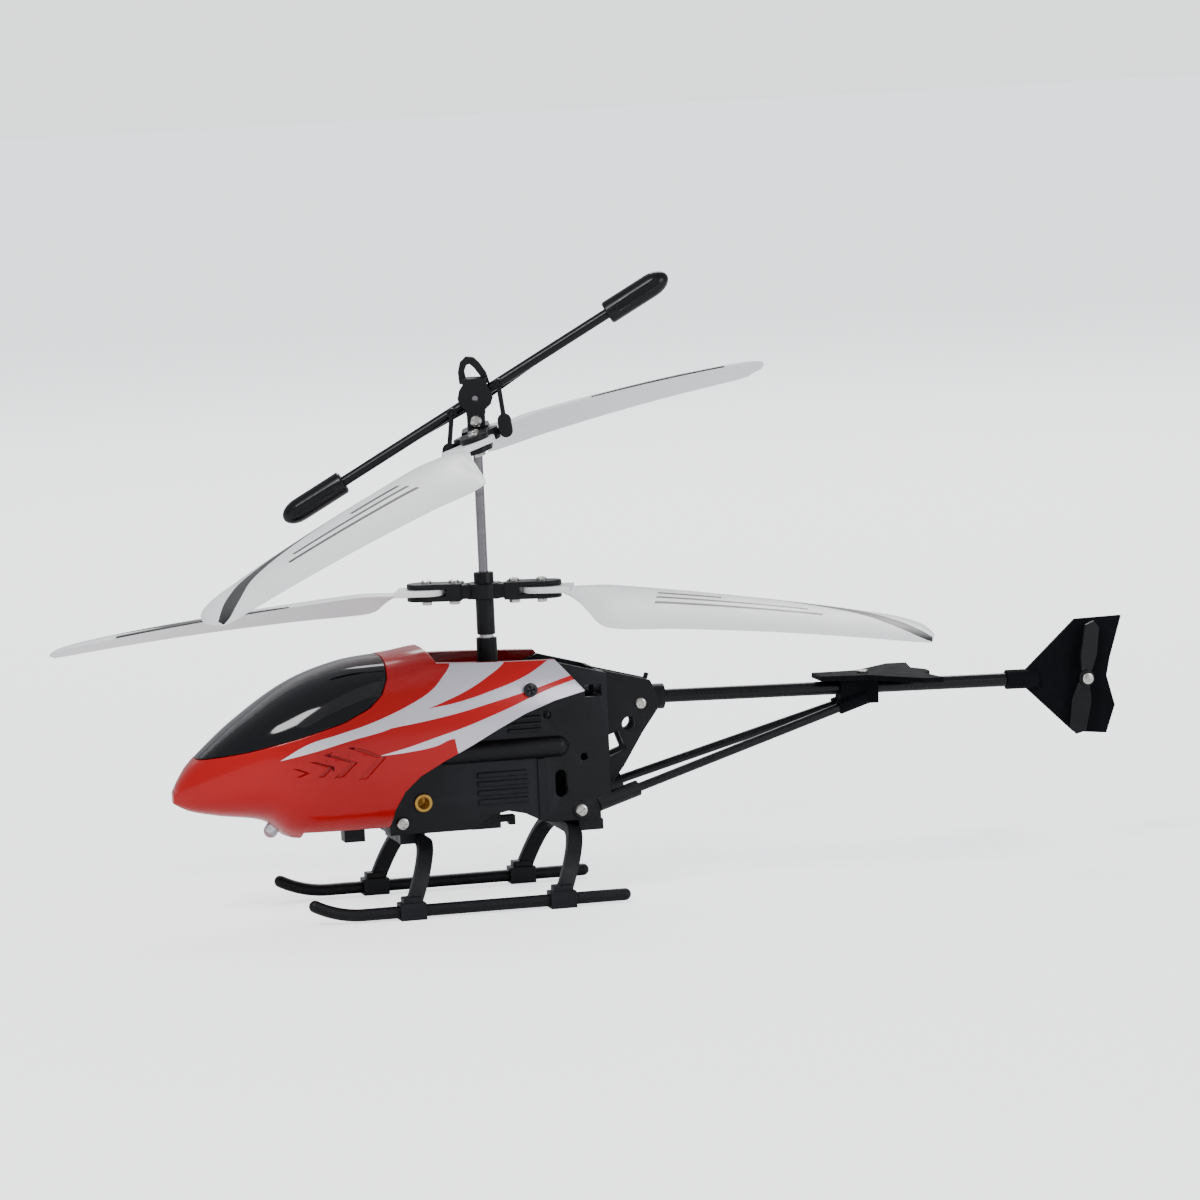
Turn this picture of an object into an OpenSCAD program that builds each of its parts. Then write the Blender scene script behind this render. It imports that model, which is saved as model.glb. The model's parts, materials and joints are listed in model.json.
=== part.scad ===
// Palm-size coaxial toy helicopter: canopy on a two-plate frame, two counter-rotating rotors on one mast,
// a weighted stabiliser bar, a rod tail boom and a skid landing gear.
// The nose points toward -Y and the ground is z = 0. Row lengths are measured from the mast axis.

/* [Rotors] */
// Radius of both rotors, from the mast axis to a blade tip
rotor_r = 95.5; // [88:0.5:102]
// Height of the lower blade roots above the ground
lower_z = 65.8; // [64:0.1:68]
// Height of the upper blade roots above the ground
upper_z = 98; // [95:0.5:102]
// Turn of the lower rotor from the fore-and-aft line
lower_turn = 20; // [0:1:40]
// Direction of the upper blade holder, counted from +X
holder_turn = -13; // [-30:1:0]
// Forward swing of each upper blade in its grip
upper_swing = 51; // [20:1:60]
// Pitch of a blade at its root
blade_pitch = 15; // [8:1:18]
// Widest chord of a blade
blade_chord = 24.5; // [20:0.5:27]

/* [Stabiliser bar] */
// Overall length of the bar with its weights
bar_len = 96; // [84:1:104]
// Tilt of the bar as it rests against its stop
bar_tilt = 30; // [20:1:30]
// Tilt of the blade holder that goes with it
holder_tilt = 17; // [12:1:17]

/* [Body] */
// Overall length of the canopy
canopy_len = 86.5; // [84:0.5:88]
// Greatest width of the canopy
canopy_w = 35; // [33.6:0.2:38]
// Wall of the canopy shell
canopy_wall = 1.1; // [0.8:0.1:1.3]
// Outside width across the two frame plates
frame_w = 19.2; // [19.2:0.2:20]

/* [Tail] */
// Length of the tail boom behind the frame
boom_len = 82; // [70:1:95]
// Downward slope of the boom
boom_droop = 1.5; // [0:0.5:3]
// Span of the tailplane
tailplane_span = 30; // [24:1:40]
// Height of the fin
fin_h = 25; // [20:1:30]

/* [Landing gear] */
// Distance between the two skids
track = 39; // [34:1:46]
// Diameter of a skid
skid_d = 2.6; // [2.2:0.1:2.8]

/* [Hidden] */
$fn = 48;

run = 0.05;             // radial clearance of a running fit
black = "#17181a";
steel = "#a9abae";

// The row origin lies below the middle of the whole length, so the mast stands in front of it.
tail_end = 140.6;
mast_y = -(tail_end - rotor_r * cos(lower_turn)) / 2;

// Mast
inner_r = 1;
outer_r = 1.5;
bushing_r = 2.2;
bushing_top = 55.8;
hub_base = bushing_top + 0.7;
head_z = upper_z;
bar_z = upper_z + 8.7;

// Gear train: both main gears carry 50 teeth, both pinions 10
gear_teeth = 50;
pinion_teeth = 10;
tooth_module = 0.3;
gear_r = gear_teeth * tooth_module / 2;
pinion_r = pinion_teeth * tooth_module / 2;
motor_y = gear_r + pinion_r;
inner_gear_z = 22.2;
outer_gear_z = 25.2;
gear_t = 2.2;
motor_z = 29.2;
motor_h = 14.2;
motor_r = 4.5;
pinion_shaft_r = 0.5;

// Frame
plate_t = 1.4;
plate_x = frame_w / 2;
inside_x = plate_x - plate_t;
screw_r = 0.6;
leg_lug_y = [-21.9, 16.7];
leg_lug_z = 18.9;
belly_top = 20.9;
board_z = 29.8;
socket_screw = [32, 39.8];

// Behind step_y each plate steps in toward the middle and becomes a web
step_y = 22;
web_in = 2.2;
web_out = web_in + plate_t;
collar_r = 2.7;

// Canopy: side view top and bottom lines and half widths, all along Y
canopy_nose = 17.6 - canopy_len;
half_w = canopy_w / 2;
top_line = [
    [-69, 28], [-66, 32.6], [-62, 36.4], [-55, 42], [-43.5, 49.2], [-32, 53], [-21, 54.2],
    [-15.6, 55], [0, 56], [20, 54]
];
bottom_line = [
    [-69, 25.5], [-66, 23.8], [-60, 22.4], [-50, 20.6], [-46, 17.2], [-42, 16.4], [-25, 16.2], [20, 16.2]
];
width_line = [
    [-69, 0.06], [-66, 0.27], [-60, 0.49], [-50, 0.74], [-38, 0.93], [-25, 1], [-10, 1], [5, 0.94], [20, 0.83]
];
section_points = 36;
section_power = 2.6;

// Boom frame origin: where the boom leaves its socket
boom_root = [0, 36.8, 40.6];
boom_r = 1.45;
strut_r = 0.95;
strut_a = [8.2, 25.5, 21.2];
strut_b = [2, 80.5, 36.9];

// Blades: the fold pin stands 12.3 mm from the mast, and lengths below start at that pin
pin_r = 12.3;
blade_len = rotor_r - pin_r;
blade_t = 0.8;
blade_camber = 0.07;
tang_t = 1.3;
jaw_gap = 1.5;
jaw_t = 1.1;
droop = [0.08, 0.0006];

// Landing gear
skid_x = track / 2;
skid_r = skid_d / 2;
skid_z = skid_r + 0.4;
foot_y = [-22.8, 9.4];
bow_lean = 22;
bow_top_z = 15.8;

// Links of the stabiliser bar
bar_arm = 5.8;
holder_arm = 6.6;
link_x = 2.4;
link_pin_r = 0.5;
link_len = 8.9;
link_lean = 6.8;

// ---------- helpers ----------

module row() translate([0, mast_y, 0]) children();

module both_sides() {
    children();
    mirror([1, 0, 0]) children();
}

module rod_x(r, x0, x1) translate([x0, 0, 0]) rotate([0, 90, 0]) cylinder(r = r, h = x1 - x0);

module rod_y(r, y0, y1) translate([0, y0, 0]) rotate([-90, 0, 0]) cylinder(r = r, h = y1 - y0);

// Box given by its two corners
module box(low, high) translate(low) cube(high - low);

// Straight rod from p toward q, from d0 to d1 along the way
module rod_along(p, q, r, d0, d1) {
    way = q - p;
    yaw = atan2(way[1], way[0]);
    lift = acos(way[2] / norm(way));
    translate(p) rotate([0, lift, yaw]) translate([0, 0, d0]) cylinder(r = r, h = d1 - d0);
}

// Side-view outline in (Y, Z), from x0 to x1
module side_slab(outline, x0, x1) {
    translate([x0, 0, 0]) rotate([90, 0, 90]) linear_extrude(x1 - x0) polygon(outline);
}

// Smooth curve through a list of [place, value]
function span_index(y, t, i = 0) = (i >= len(t) - 2 || y < t[i + 1][0]) ? i : span_index(y, t, i + 1);
function chord_slope(t, i, j) = (t[j][1] - t[i][1]) / (t[j][0] - t[i][0]);
function knot_slope(t, i) = chord_slope(t, max(i - 1, 0), min(i + 1, len(t) - 1));
function smooth(y, t) =
    let (
        i = span_index(y, t),
        h = t[i + 1][0] - t[i][0],
        u = (y - t[i][0]) / h,
        m0 = knot_slope(t, i) * h,
        m1 = knot_slope(t, i + 1) * h,
        v0 = t[i][1],
        v1 = t[i + 1][1]
    )
    v0 * (2 * pow(u, 3) - 3 * pow(u, 2) + 1) + m0 * (pow(u, 3) - 2 * pow(u, 2) + u)
    + v1 * (3 * pow(u, 2) - 2 * pow(u, 3)) + m1 * (pow(u, 3) - pow(u, 2));

// Triangles over a stack of equal rings, closed at both ends
function loft_faces(rings, n) = concat(
    [for (i = [0 : rings - 2]) for (k = [0 : n - 1])
        [i * n + k, i * n + (k + 1) % n, (i + 1) * n + (k + 1) % n]],
    [for (i = [0 : rings - 2]) for (k = [0 : n - 1])
        [i * n + k, (i + 1) * n + (k + 1) % n, (i + 1) * n + k]],
    [for (k = [1 : n - 2]) [0, k + 1, k]],
    [for (k = [1 : n - 2]) [(rings - 1) * n, (rings - 1) * n + k, (rings - 1) * n + k + 1]]
);

// ---------- canopy ----------

function sign_power(v, p) = sign(v) * pow(abs(v), p);

// One cross-section of the canopy at station y, moved inward by wall
function canopy_ring(y, wall) =
    let (
        top = smooth(y, top_line) - wall,
        bottom = smooth(y, bottom_line) + wall,
        w = half_w * smooth(y, width_line) - wall,
        mid = (top + bottom) / 2
    )
    [for (k = [0 : section_points - 1])
        let (a = 360 * k / section_points, p = 2 / section_power)
        [w * sign_power(cos(a), p), y, mid + (top - bottom) / 2 * sign_power(sin(a), p)]];

module canopy_loft(stations, wall) {
    rings = [for (y = stations) canopy_ring(y, wall)];
    polyhedron([for (r = rings) for (p = r) p], loft_faces(len(rings), section_points));
}

module canopy_shell() {
    outer = concat([canopy_nose, -68, -66, -63.5, -60], [for (y = [-55.5 : 4.5 : 17]) y], [20]);
    inner = concat([-66.4, -63.5, -60], [for (y = [-55.5 : 4.5 : 17]) y], [21]);
    difference() {
        canopy_loft(outer, 0);
        canopy_loft(inner, canopy_wall);
    }
}

// Side outline of the windscreen, run up past the top of the shell
module windscreen_prism() {
    outline = [
        [-63.6, 34.6], [-54, 36.4], [-44, 38.9], [-35, 41.6], [-29, 44.4], [-26, 47],
        [-24.4, 50], [-23.6, 54], [-23.4, 60], [-70, 60], [-70, 34.6]
    ];
    side_slab(outline, -half_w - 2, half_w + 2);
}

// Everything that the shell leaves open: under the belly, behind the lower rear edge, over the mast
module canopy_cutters() {
    far = half_w + 2;
    lower_rear = [
        [-24.9, 10], [-24.9, 18], [-24.3, 22.5], [-22.4, 26.4], [-19, 29.6], [-14, 32.3], [-8.3, 35],
        [-2, 38.2], [4.1, 41], [10.6, 43.1], [17.8, 44.6], [30, 46], [30, 10]
    ];
    rear = [[17.8, 44], [17.8, 44.6], [12.2, 51.2], [11, 62], [30, 62], [30, 44]];
    side_slab(lower_rear, -far, far);
    side_slab(rear, -far, far);
    difference() {
        side_slab([[-13.4, 52.4], [-15.4, 56], [-15.4, 62], [20, 62], [20, 51]], -far, far);
        box([-far, -20, 50], [far, -15.5, 56]);
    }
    box([-half_w + 4, -43, 10], [half_w - 4, -20, 18.4]);
    lamp_line() {
        translate([0, 0, -2]) cylinder(r = 1.9, h = 8);
        translate([0, 0, -4]) cylinder(r = 2.5, h = 4.2);
    }
    for (s = [-1, 1]) {
        translate([0, 5.5, 45.9]) rod_x(1, min(s * 11, s * 20), max(s * 11, s * 20));
    }
}

module canopy() {
    color("#c8141c") row() difference() {
        canopy_shell();
        windscreen_prism();
        canopy_cutters();
    }
}

module windscreen() {
    color("#141820") row() intersection() {
        canopy_shell();
        windscreen_prism();
    }
}

module canopy_pegs() {
    color(black) row() both_sides() translate([0, 5.5, 45.9]) difference() {
        rod_x(1.7, plate_x, 13);
        rod_x(0.7, plate_x + 1.2, 14);
    }
}

module canopy_screws() {
    color(steel) row() both_sides() translate([0, 5.5, 45.9]) {
        rod_x(0.7, plate_x + 1.2, 15.8);
        rod_x(1.5, 15.8, 16.5);
    }
}

// ---------- frame ----------

frame_outline = [
    [-44, 24], [-42.5, 21.5], [-38, 20], [-25.6, 19.6], [-24.6, 19.6], [-24.6, 16.4], [-7.2, 16.4],
    [-5.4, 17.6], [-2.6, 19.2], [1, 19.8], [4.6, 19], [8, 17.2], [11, 16.6], [19.2, 16.8], [21, 18.4],
    [23.6, 21.4], [27.9, 26.8], [32.2, 33.6], [35.6, 38.2], [36, 40.6], [34.3, 44.6], [12.6, 50.6],
    [9, 49.2], [-14, 49.2], [-30, 42], [-44, 30]
];

module frame_holes() {
    through = plate_x + 4;
    translate([-through, 20.4, 44]) rotate([90, 0, 90]) linear_extrude(2 * through) {
        translate([-1.8, -1.3]) square([3.6, 2.6]);
    }
    translate([-through, 25.9, 31.6]) rotate([20, 0, 0]) rotate([90, 0, 90]) linear_extrude(2 * through) {
        translate([-1.9, -2.2]) square([3.8, 4.4]);
    }
    translate([0, 29.3, 35.6]) rod_x(1.5, -through, through);
    translate([0, 17.9, 30.1]) rod_x(0.8, -through, through);
    translate([0, 10.2, 39.6]) rod_x(0.8, -through, through);
    for (z = [23.2, 26.4]) {
        translate([0, 12.7, z]) rod_x(1.3, -through, through);
    }
    box([-through, 11.4, 23.2], [through, 14, 26.4]);
    for (y = leg_lug_y) {
        translate([0, y, leg_lug_z]) rod_x(screw_r, -through, through);
    }
    translate([0, socket_screw[0], socket_screw[1]]) rod_x(screw_r, -through, through);
}

// One side plate, drawn on the +X side: bulged motor cover, louvres, strut socket
module frame_plate() {
    difference() {
        union() {
            difference() {
                side_slab(frame_outline, web_in, plate_x);
                box([0, -50, 0], [inside_x, step_y, 60]);
                box([web_out, step_y + plate_t, 0], [20, 50, 60]);
            }
            translate([plate_x - 0.6, 0, 32.8]) {
                rod_y(2.3, -12, 12.4);
                for (y = [-12, 12.4]) {
                    translate([0, y, 0]) sphere(2.3);
                }
            }
            for (k = [0 : 2]) {
                box([plate_x - 0.2, 1.6, 36.3 + 1.3 * k], [plate_x + 0.6, 8.8, 37 + 1.3 * k]);
            }
            for (k = [0 : 3]) {
                box([plate_x - 0.2, -5.4, 21.6 + 1.9 * k], [plate_x + 0.6, 5.4, 22.6 + 1.9 * k]);
            }
            box([plate_x - 0.2, 7.6, 17.4], [plate_x + 0.5, 9.2, 30.4]);
            translate([0, leg_lug_y[1], leg_lug_z]) rod_x(1.9, plate_x - 0.2, plate_x + 0.3);
            rod_along(strut_a, strut_b, 1.7, -5.2, 4.4);
        }
        box([-20, -50, 0], [inside_x, step_y, 60]);
        rod_along(strut_a, strut_b, strut_r, -2.6, 5);
        boom_line() rod_y(collar_r, -5.5, 3);
        frame_holes();
    }
}

module frame_left() {
    color(black) row() mirror([1, 0, 0]) frame_plate();
}

module frame_right() {
    color(black) row() difference() {
        frame_plate();
        translate([0, -17.3, 22.9]) rod_x(1.9, 0, 20);
    }
}

module top_block() {
    color(black) row() difference() {
        union() {
            box([-inside_x, -14, motor_z + motor_h], [inside_x, 14, motor_z + motor_h + 2]);
            box([-inside_x, -5, motor_z + motor_h + 2], [inside_x, 5, 48.8]);
        }
        translate([0, 0, 40]) cylinder(r = bushing_r, h = 12);
    }
}

module motor_plate() {
    color(black) row() difference() {
        box([-inside_x, -14, motor_z - 1.2], [inside_x, 14, motor_z]);
        translate([0, 0, motor_z - 2]) cylinder(r = outer_r + run, h = 3);
        for (s = [-1, 1]) {
            translate([0, s * motor_y, motor_z - 2]) cylinder(r = 1.2, h = 3);
        }
    }
}

module bottom_block() {
    color(black) row() difference() {
        box([-inside_x, -6.5, 19.8], [inside_x, 6.5, 21.4]);
        translate([0, 0, 19]) cylinder(r = inner_r + run, h = 3);
    }
}

// Rear block with the boom's bore, its collar and a small aerial peg
module boom_socket() {
    color(black) row() difference() {
        union() {
            box([-web_in, 27.4, 37.6], [web_in, 34.6, 43.4]);
            boom_line() rod_y(collar_r, -5.5, 1);
            translate([0, 33.4, 43]) rotate([-20, 0, 0]) cylinder(r = 0.5, h = 3);
        }
        boom_line() rod_y(boom_r, -9, 3);
        translate([0, socket_screw[0], socket_screw[1]]) rod_x(screw_r, 1.75, 20);
        translate([0, socket_screw[0], socket_screw[1]]) rod_x(screw_r, -20, -1.75);
    }
}

module belly_plate() {
    color(black) row() {
        box([-inside_x, -42, belly_top - 1], [inside_x, -25.6, belly_top]);
        box([-2.2, -33, 14.6], [2.2, -28.6, 20]);
    }
}

// Nose lamp axis: from behind the shell, down and forward
module lamp_line() translate([0, -46.2, 21]) rotate([143, 0, 0]) children();

module lamp_holder() {
    color(black) row() difference() {
        union() {
            lamp_line() translate([0, 0, -3.6]) cylinder(r = 2.3, h = 3.4);
            box([-2, -44.4, 19.9], [2, -42, 22.4]);
        }
        lamp_line() translate([0, 0, -2.4]) cylinder(r = 1.5, h = 8);
    }
}

module nose_lamp() {
    color("#e8ecf2") row() lamp_line() translate([0, 0, -2.4]) {
        cylinder(r = 1.5, h = 6);
        translate([0, 0, 6]) sphere(1.5);
    }
}

module frame_screws() {
    color(steel) row() both_sides() {
        for (y = leg_lug_y) {
            translate([0, y, leg_lug_z]) rod_x(screw_r, 6.4, plate_x + 0.3);
            translate([0, y, leg_lug_z]) rod_x(1.3, plate_x + 0.3, plate_x + 1);
        }
        translate([0, socket_screw[0], socket_screw[1]]) rod_x(screw_r, 1.75, web_out);
        translate([0, socket_screw[0], socket_screw[1]]) rod_x(1.2, web_out, web_out + 0.6);
    }
}

// ---------- inside ----------

module battery() {
    color("#8f9399") row() difference() {
        box([-7, -40.5, belly_top], [7, -20.6, board_z]);
        for (s = [-1, 1]) {
            translate([s * 7, 0, board_z]) rotate([0, 45, 0]) cube([1.4, 100, 1.4], center = true);
        }
    }
}

module circuit_board() {
    color("#1f6b3a") row() {
        box([-inside_x, -41, board_z], [inside_x, -15, board_z + 1]);
        box([-3, -36, board_z + 1], [2.4, -30.6, board_z + 2.2]);
        box([-5.6, -26, board_z + 1], [-1.6, -20, board_z + 2]);
        box([2, -24, board_z + 1], [5.6, -18.4, board_z + 2.6]);
    }
}

module receiver() {
    color("#202226") row() translate([0, -39, board_z + 1]) {
        cylinder(r = 1.6, h = 3.4);
        translate([0, 0, 3.4]) sphere(1.6);
    }
}

module charge_socket() {
    color("#b98a3c") row() translate([0, -17.3, 22.9]) difference() {
        rod_x(1.9, 4.6, plate_x + 0.5);
        rod_x(1.25, 5.6, 20);
    }
}

module switch_case() {
    color(black) row() difference() {
        box([-3.2, -5.9, 15.4], [3.2, 0.6, 19.8]);
        box([-1.4, -4.4, 16.1], [1.4, 3, 17.9]);
    }
}

module switch_slider() {
    color(black) row() {
        box([-1.2, -2.2, 16.3], [1.2, 4.2, 17.7]);
        box([-1.2, 2.8, 15.6], [1.2, 4.2, 17.7]);
    }
}

// Motor can with a blind bore for its shaft
module motor(s) {
    row() translate([0, s * motor_y, motor_z]) difference() {
        union() {
            cylinder(r = motor_r, h = motor_h - 1.6);
            cylinder(r = motor_r - 0.5, h = motor_h);
        }
        translate([0, 0, -1]) cylinder(r = pinion_shaft_r + run, h = 6);
    }
}

module front_motor() color("#c4c6c9") motor(-1);

module rear_motor() color("#c4c6c9") motor(1);

// Straight-sided teeth, cut thin for backlash
module toothed_disc(teeth, r, t) {
    step = 360 / teeth;
    root = r - 1.15 * tooth_module;
    tip = r + 0.75 * tooth_module;
    linear_extrude(t) polygon([
        for (k = [0 : teeth - 1])
            for (c = [[-0.29, root], [-0.12, tip], [0.12, tip], [0.29, root]])
                c[1] * [cos((k + c[0]) * step), sin((k + c[0]) * step)]
    ]);
}

module pinion(s, z) {
    row() translate([0, s * motor_y, 0]) {
        difference() {
            translate([0, 0, z - 0.2]) rotate([0, 0, 180 / pinion_teeth]) {
                toothed_disc(pinion_teeth, pinion_r, gear_t + 0.4);
            }
            translate([0, 0, z - 1]) cylinder(r = pinion_shaft_r, h = gear_t + 2);
        }
        translate([0, 0, z - 0.2]) cylinder(r = pinion_shaft_r, h = motor_z + 4 - z);
    }
}

module front_pinion() color("#b08d4a") pinion(-1, inner_gear_z);

module rear_pinion() color("#b08d4a") pinion(1, outer_gear_z);

module main_gear(z, bore) {
    row() translate([0, 0, z]) difference() {
        union() {
            toothed_disc(gear_teeth, gear_r, gear_t);
            translate([0, 0, gear_t]) cylinder(r = 2.8, h = 0.5);
        }
        translate([0, 0, -1]) cylinder(r = bore, h = gear_t + 3);
        for (a = [0 : 90 : 270]) {
            rotate([0, 0, a + 45]) translate([4.9, 0, -1]) cylinder(r = 1.2, h = gear_t + 2);
        }
    }
}

// ---------- lower rotor ----------

module mast_bushing() {
    color(black) row() difference() {
        union() {
            translate([0, 0, motor_z + motor_h]) cylinder(r = bushing_r, h = bushing_top - motor_z - motor_h);
            translate([0, 0, 48.8]) cylinder(r = 3, h = 1);
        }
        cylinder(r = outer_r + run, h = 80);
    }
}

module outer_shaft() {
    color("#b9bbbf") row() difference() {
        translate([0, 0, outer_gear_z]) cylinder(r = outer_r, h = lower_z + 3 - outer_gear_z);
        cylinder(r = inner_r + run, h = 100);
    }
}

module outer_gear() color("#e6e4dc") main_gear(outer_gear_z, outer_r);

module lower_frame() row() translate([0, 0, lower_z]) rotate([0, 0, 90 - lower_turn]) children();

// Forked grip along +X, from its web out to a round end
module grip(web_start) {
    for (z = [-jaw_gap / 2 - jaw_t, jaw_gap / 2]) {
        translate([0, 0, z]) difference() {
            union() {
                box([web_start, -3, 0], [pin_r + 1.2, 3, jaw_t]);
                translate([pin_r + 1.2, 0, 0]) cylinder(r = 3, h = jaw_t);
            }
            translate([pin_r, 0, -1]) cylinder(r = screw_r, h = 4);
        }
    }
    box([web_start, -3, -jaw_gap / 2 - jaw_t], [pin_r - 4.5, 3, jaw_gap / 2 + jaw_t]);
}

module lower_hub() {
    color(black) lower_frame() difference() {
        union() {
            translate([0, 0, hub_base - lower_z]) cylinder(r = 1.95, h = lower_z - hub_base);
            translate([0, 0, -1.6]) cylinder(r = 3.6, h = 3.2);
            cylinder(r = 2.1, h = 3.9);
            box([-5.4, -2.4, -1.5], [5.4, 2.4, 1.5]);
            for (s = [0, 180]) {
                rotate([0, 0, s]) grip(4.6);
            }
        }
        translate([0, 0, -20]) cylinder(r = outer_r, h = 23);
        cylinder(r = inner_r + run, h = 10);
        for (s = [-1, 1]) {
            translate([s * 6.4, 0, -4]) cylinder(r = screw_r, h = 8);
        }
    }
}

// Screw from above with a nut below, reaching through a stack of half height h
module grip_screw(h) {
    translate([0, 0, -h - 0.9]) cylinder(r = screw_r, h = 2 * h + 1);
    translate([0, 0, h]) cylinder(r = 1.15, h = 0.7);
    translate([0, 0, -h - 0.9]) cylinder(r = 1.2, h = 0.9, $fn = 6);
}

module grip_screws() {
    h = jaw_gap / 2 + jaw_t;
    for (s = [-1, 1]) {
        translate([s * 6.4, 0, 0]) grip_screw(h);
        translate([s * pin_r, 0, 0]) grip_screw(h);
    }
}

module lower_screws() color(steel) lower_frame() grip_screws();

// Blade outline, from the fold pin outward: leading and trailing edge offsets
lead_line = [[5, 3.5], [12, 4.1], [20, 4.2], [70, 3.6], [77, 2.2], [81, -1], [83.2, -6]];
trail_line = [[5, 3.5], [9, 9], [11, 12.6], [16, 20], [30, 18.4], [50, 15.6], [70, 13], [80, 11.6], [83.2, 10.4]];

// One cambered section at distance s from the pin, twisted and drooped
function blade_ring(s) =
    let (
        u = s * 83.2 / blade_len,
        wide = blade_chord / 24.2,
        lead = smooth(u, lead_line),
        trail = -smooth(u, trail_line) * wide,
        c = lead - trail,
        grow = min(1, (s - 3) / 10),
        tilt = blade_pitch * (1 - 0.3 * s / blade_len) * grow,
        drop = -droop[0] * s - droop[1] * s * s,
        steps = 6,
        arc = function (v) 4 * v * (1 - v) * blade_camber * c * grow,
        thick = function (v) blade_t * (0.35 + 0.65 * sqrt(max(0, 4 * v * (1 - v)))),
        upper = [for (k = [0 : steps]) let (v = 1 - k / steps) [lead - c * v, arc(v) + thick(v) / 2]],
        lower = [for (k = [0 : steps]) let (v = k / steps) [lead - c * v, arc(v) - thick(v) / 2]]
    )
    [for (p = concat(upper, lower))
        [s, p[0] * cos(tilt) - p[1] * sin(tilt), drop + p[0] * sin(tilt) + p[1] * cos(tilt)]];

// Blade along +X with its leading edge toward +Y, its fold pin at the origin
module blade_body() {
    places = concat([5, 7, 9, 12.5, 16, 20], [for (s = [27 : 9 : 72]) s], [76, 79.5, 82, blade_len - 0.4]);
    rings = [for (s = places) blade_ring(s)];
    difference() {
        union() {
            translate([0, 0, -tang_t / 2]) cylinder(r = 4.1, h = tang_t);
            box([0, -4.1, -tang_t / 2], [6.4, 4.1, tang_t / 2]);
            polyhedron([for (r = rings) for (p = r) p], loft_faces(len(rings), 14));
        }
        translate([0, 0, -3]) cylinder(r = screw_r + run, h = 6);
    }
}

module lower_blade_a() color("#eceff0") lower_frame() translate([pin_r, 0, 0]) blade_body();

module lower_blade_b() {
    color("#eceff0") lower_frame() rotate([0, 0, 180]) translate([pin_r, 0, 0]) blade_body();
}

// ---------- upper rotor ----------

module inner_shaft() {
    color(steel) row() difference() {
        translate([0, 0, 19.9]) cylinder(r = inner_r, h = head_z + 2.4 - 19.9);
        translate([0, 0, head_z]) rotate([0, 0, holder_turn]) rod_x(screw_r, -4, 4);
    }
}

module inner_gear() color("#e6e4dc") main_gear(inner_gear_z, inner_r);

// Head frame: +X along the blade holder, +Y along the stabiliser bar
module head_frame() row() rotate([0, 0, holder_turn]) children();

module holder_frame() head_frame() translate([0, 0, head_z]) rotate([holder_tilt, 0, 0]) children();

module bar_frame() head_frame() translate([0, 0, bar_z]) rotate([bar_tilt, 0, 0]) children();

// Neck on the shaft, clevis for the bar, and a finger ring on top
module rotor_head() {
    ring = [[-3.2, 2.6], [-3.4, 5.2], [-2.9, 7.2], [-1.6, 8.4], [0, 8.2], [1.2, 7], [2.6, 4.8], [3.2, 2.6]];
    cheek = [
        [-1.9, -3.7], [1.9, -3.7], [2.1, -2.4], [3.3, -1.3], [3.7, 0], [3.4, 1.4], [2.6, 2.6], [2.4, 3.1],
        [-2.4, 3.1], [-2.6, 2.6], [-3.4, 1.4], [-3.7, 0], [-3.3, -1.3], [-2.1, -2.4]
    ];
    hole = [[-1.8, 4], [-2, 5.4], [-1.5, 6.6], [-0.9, 6.8], [0, 6], [1.4, 4]];
    color(black) head_frame() difference() {
        union() {
            translate([0, 0, head_z - 1.7]) cylinder(r = 2, h = 4.4);
            box([-2.5, -1.9, head_z + 2.6], [2.5, 1.9, head_z + 5.2]);
            for (x = [-2.5, 1.3]) {
                translate([0, 0, bar_z]) side_slab(cheek, x, x + 1.2);
            }
            translate([0, 0, bar_z + 0.4]) side_slab(ring, -0.9, 0.9);
            box([-2.5, -2.6, bar_z + 3], [2.5, 2.6, bar_z + 4.2]);
        }
        translate([0, 0, bar_z + 0.4]) side_slab(hole, -3, 3);
        translate([0, 0, head_z - 3]) cylinder(r = inner_r, h = 5.4);
        translate([0, 0, head_z]) rod_x(screw_r, -4, 4);
        translate([0, 0, bar_z]) rod_x(screw_r, -4, 4);
        translate([0, 0, head_z + 3.9]) rod_x(0.7, 0.6, 4);
        box([-1.3, -4, head_z + 5.2], [1.3, 4, bar_z + 3]);
    }
}

module head_screw() {
    color(steel) head_frame() translate([0, 0, head_z + 3.9]) {
        rod_x(0.7, 0.6, 2.5);
        rod_x(1.25, 2.5, 3.2);
    }
}

module holder_pin() color(steel) head_frame() translate([0, 0, head_z]) rod_x(screw_r, -4.6, 4.6);

module bar_pin() color(steel) head_frame() translate([0, 0, bar_z]) rod_x(screw_r, -2.5, 2.5);

module blade_holder() {
    color(black) holder_frame() difference() {
        union() {
            translate([0, 0, -1.3]) cylinder(r = 4.9, h = 2.6);
            for (s = [0, 180]) {
                rotate([0, 0, s]) difference() {
                    grip(3.6);
                    box([3, -1.6, -3], [4.2, 1.6, 3]);
                }
            }
            for (s = [-1, 1]) {
                translate([0, s * holder_arm, 0]) {
                    rod_x(link_pin_r, 0, link_x + 0.1);
                    box([-1, min(-s * 3, s * 0.7), -0.7], [1, max(-s * 3, s * 0.7), 0.7]);
                }
            }
        }
        translate([0, 0, -5]) cylinder(r = 3.3, h = 10);
        rod_x(screw_r + run, -5.4, 5.4);
        for (s = [-1, 1]) {
            translate([s * 6.4, 0, -4]) cylinder(r = screw_r, h = 8);
        }
    }
}

module holder_screws() color(steel) holder_frame() grip_screws();

// The upper rotor turns the other way, so its blades are mirror images
module upper_blade_a() {
    color("#eceff0") holder_frame() translate([pin_r, 0, 0]) rotate([0, 0, -upper_swing]) {
        mirror([0, 1, 0]) blade_body();
    }
}

module upper_blade_b() {
    color("#eceff0") holder_frame() rotate([0, 0, 180]) translate([pin_r, 0, 0]) {
        rotate([0, 0, -upper_swing]) mirror([0, 1, 0]) blade_body();
    }
}

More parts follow.
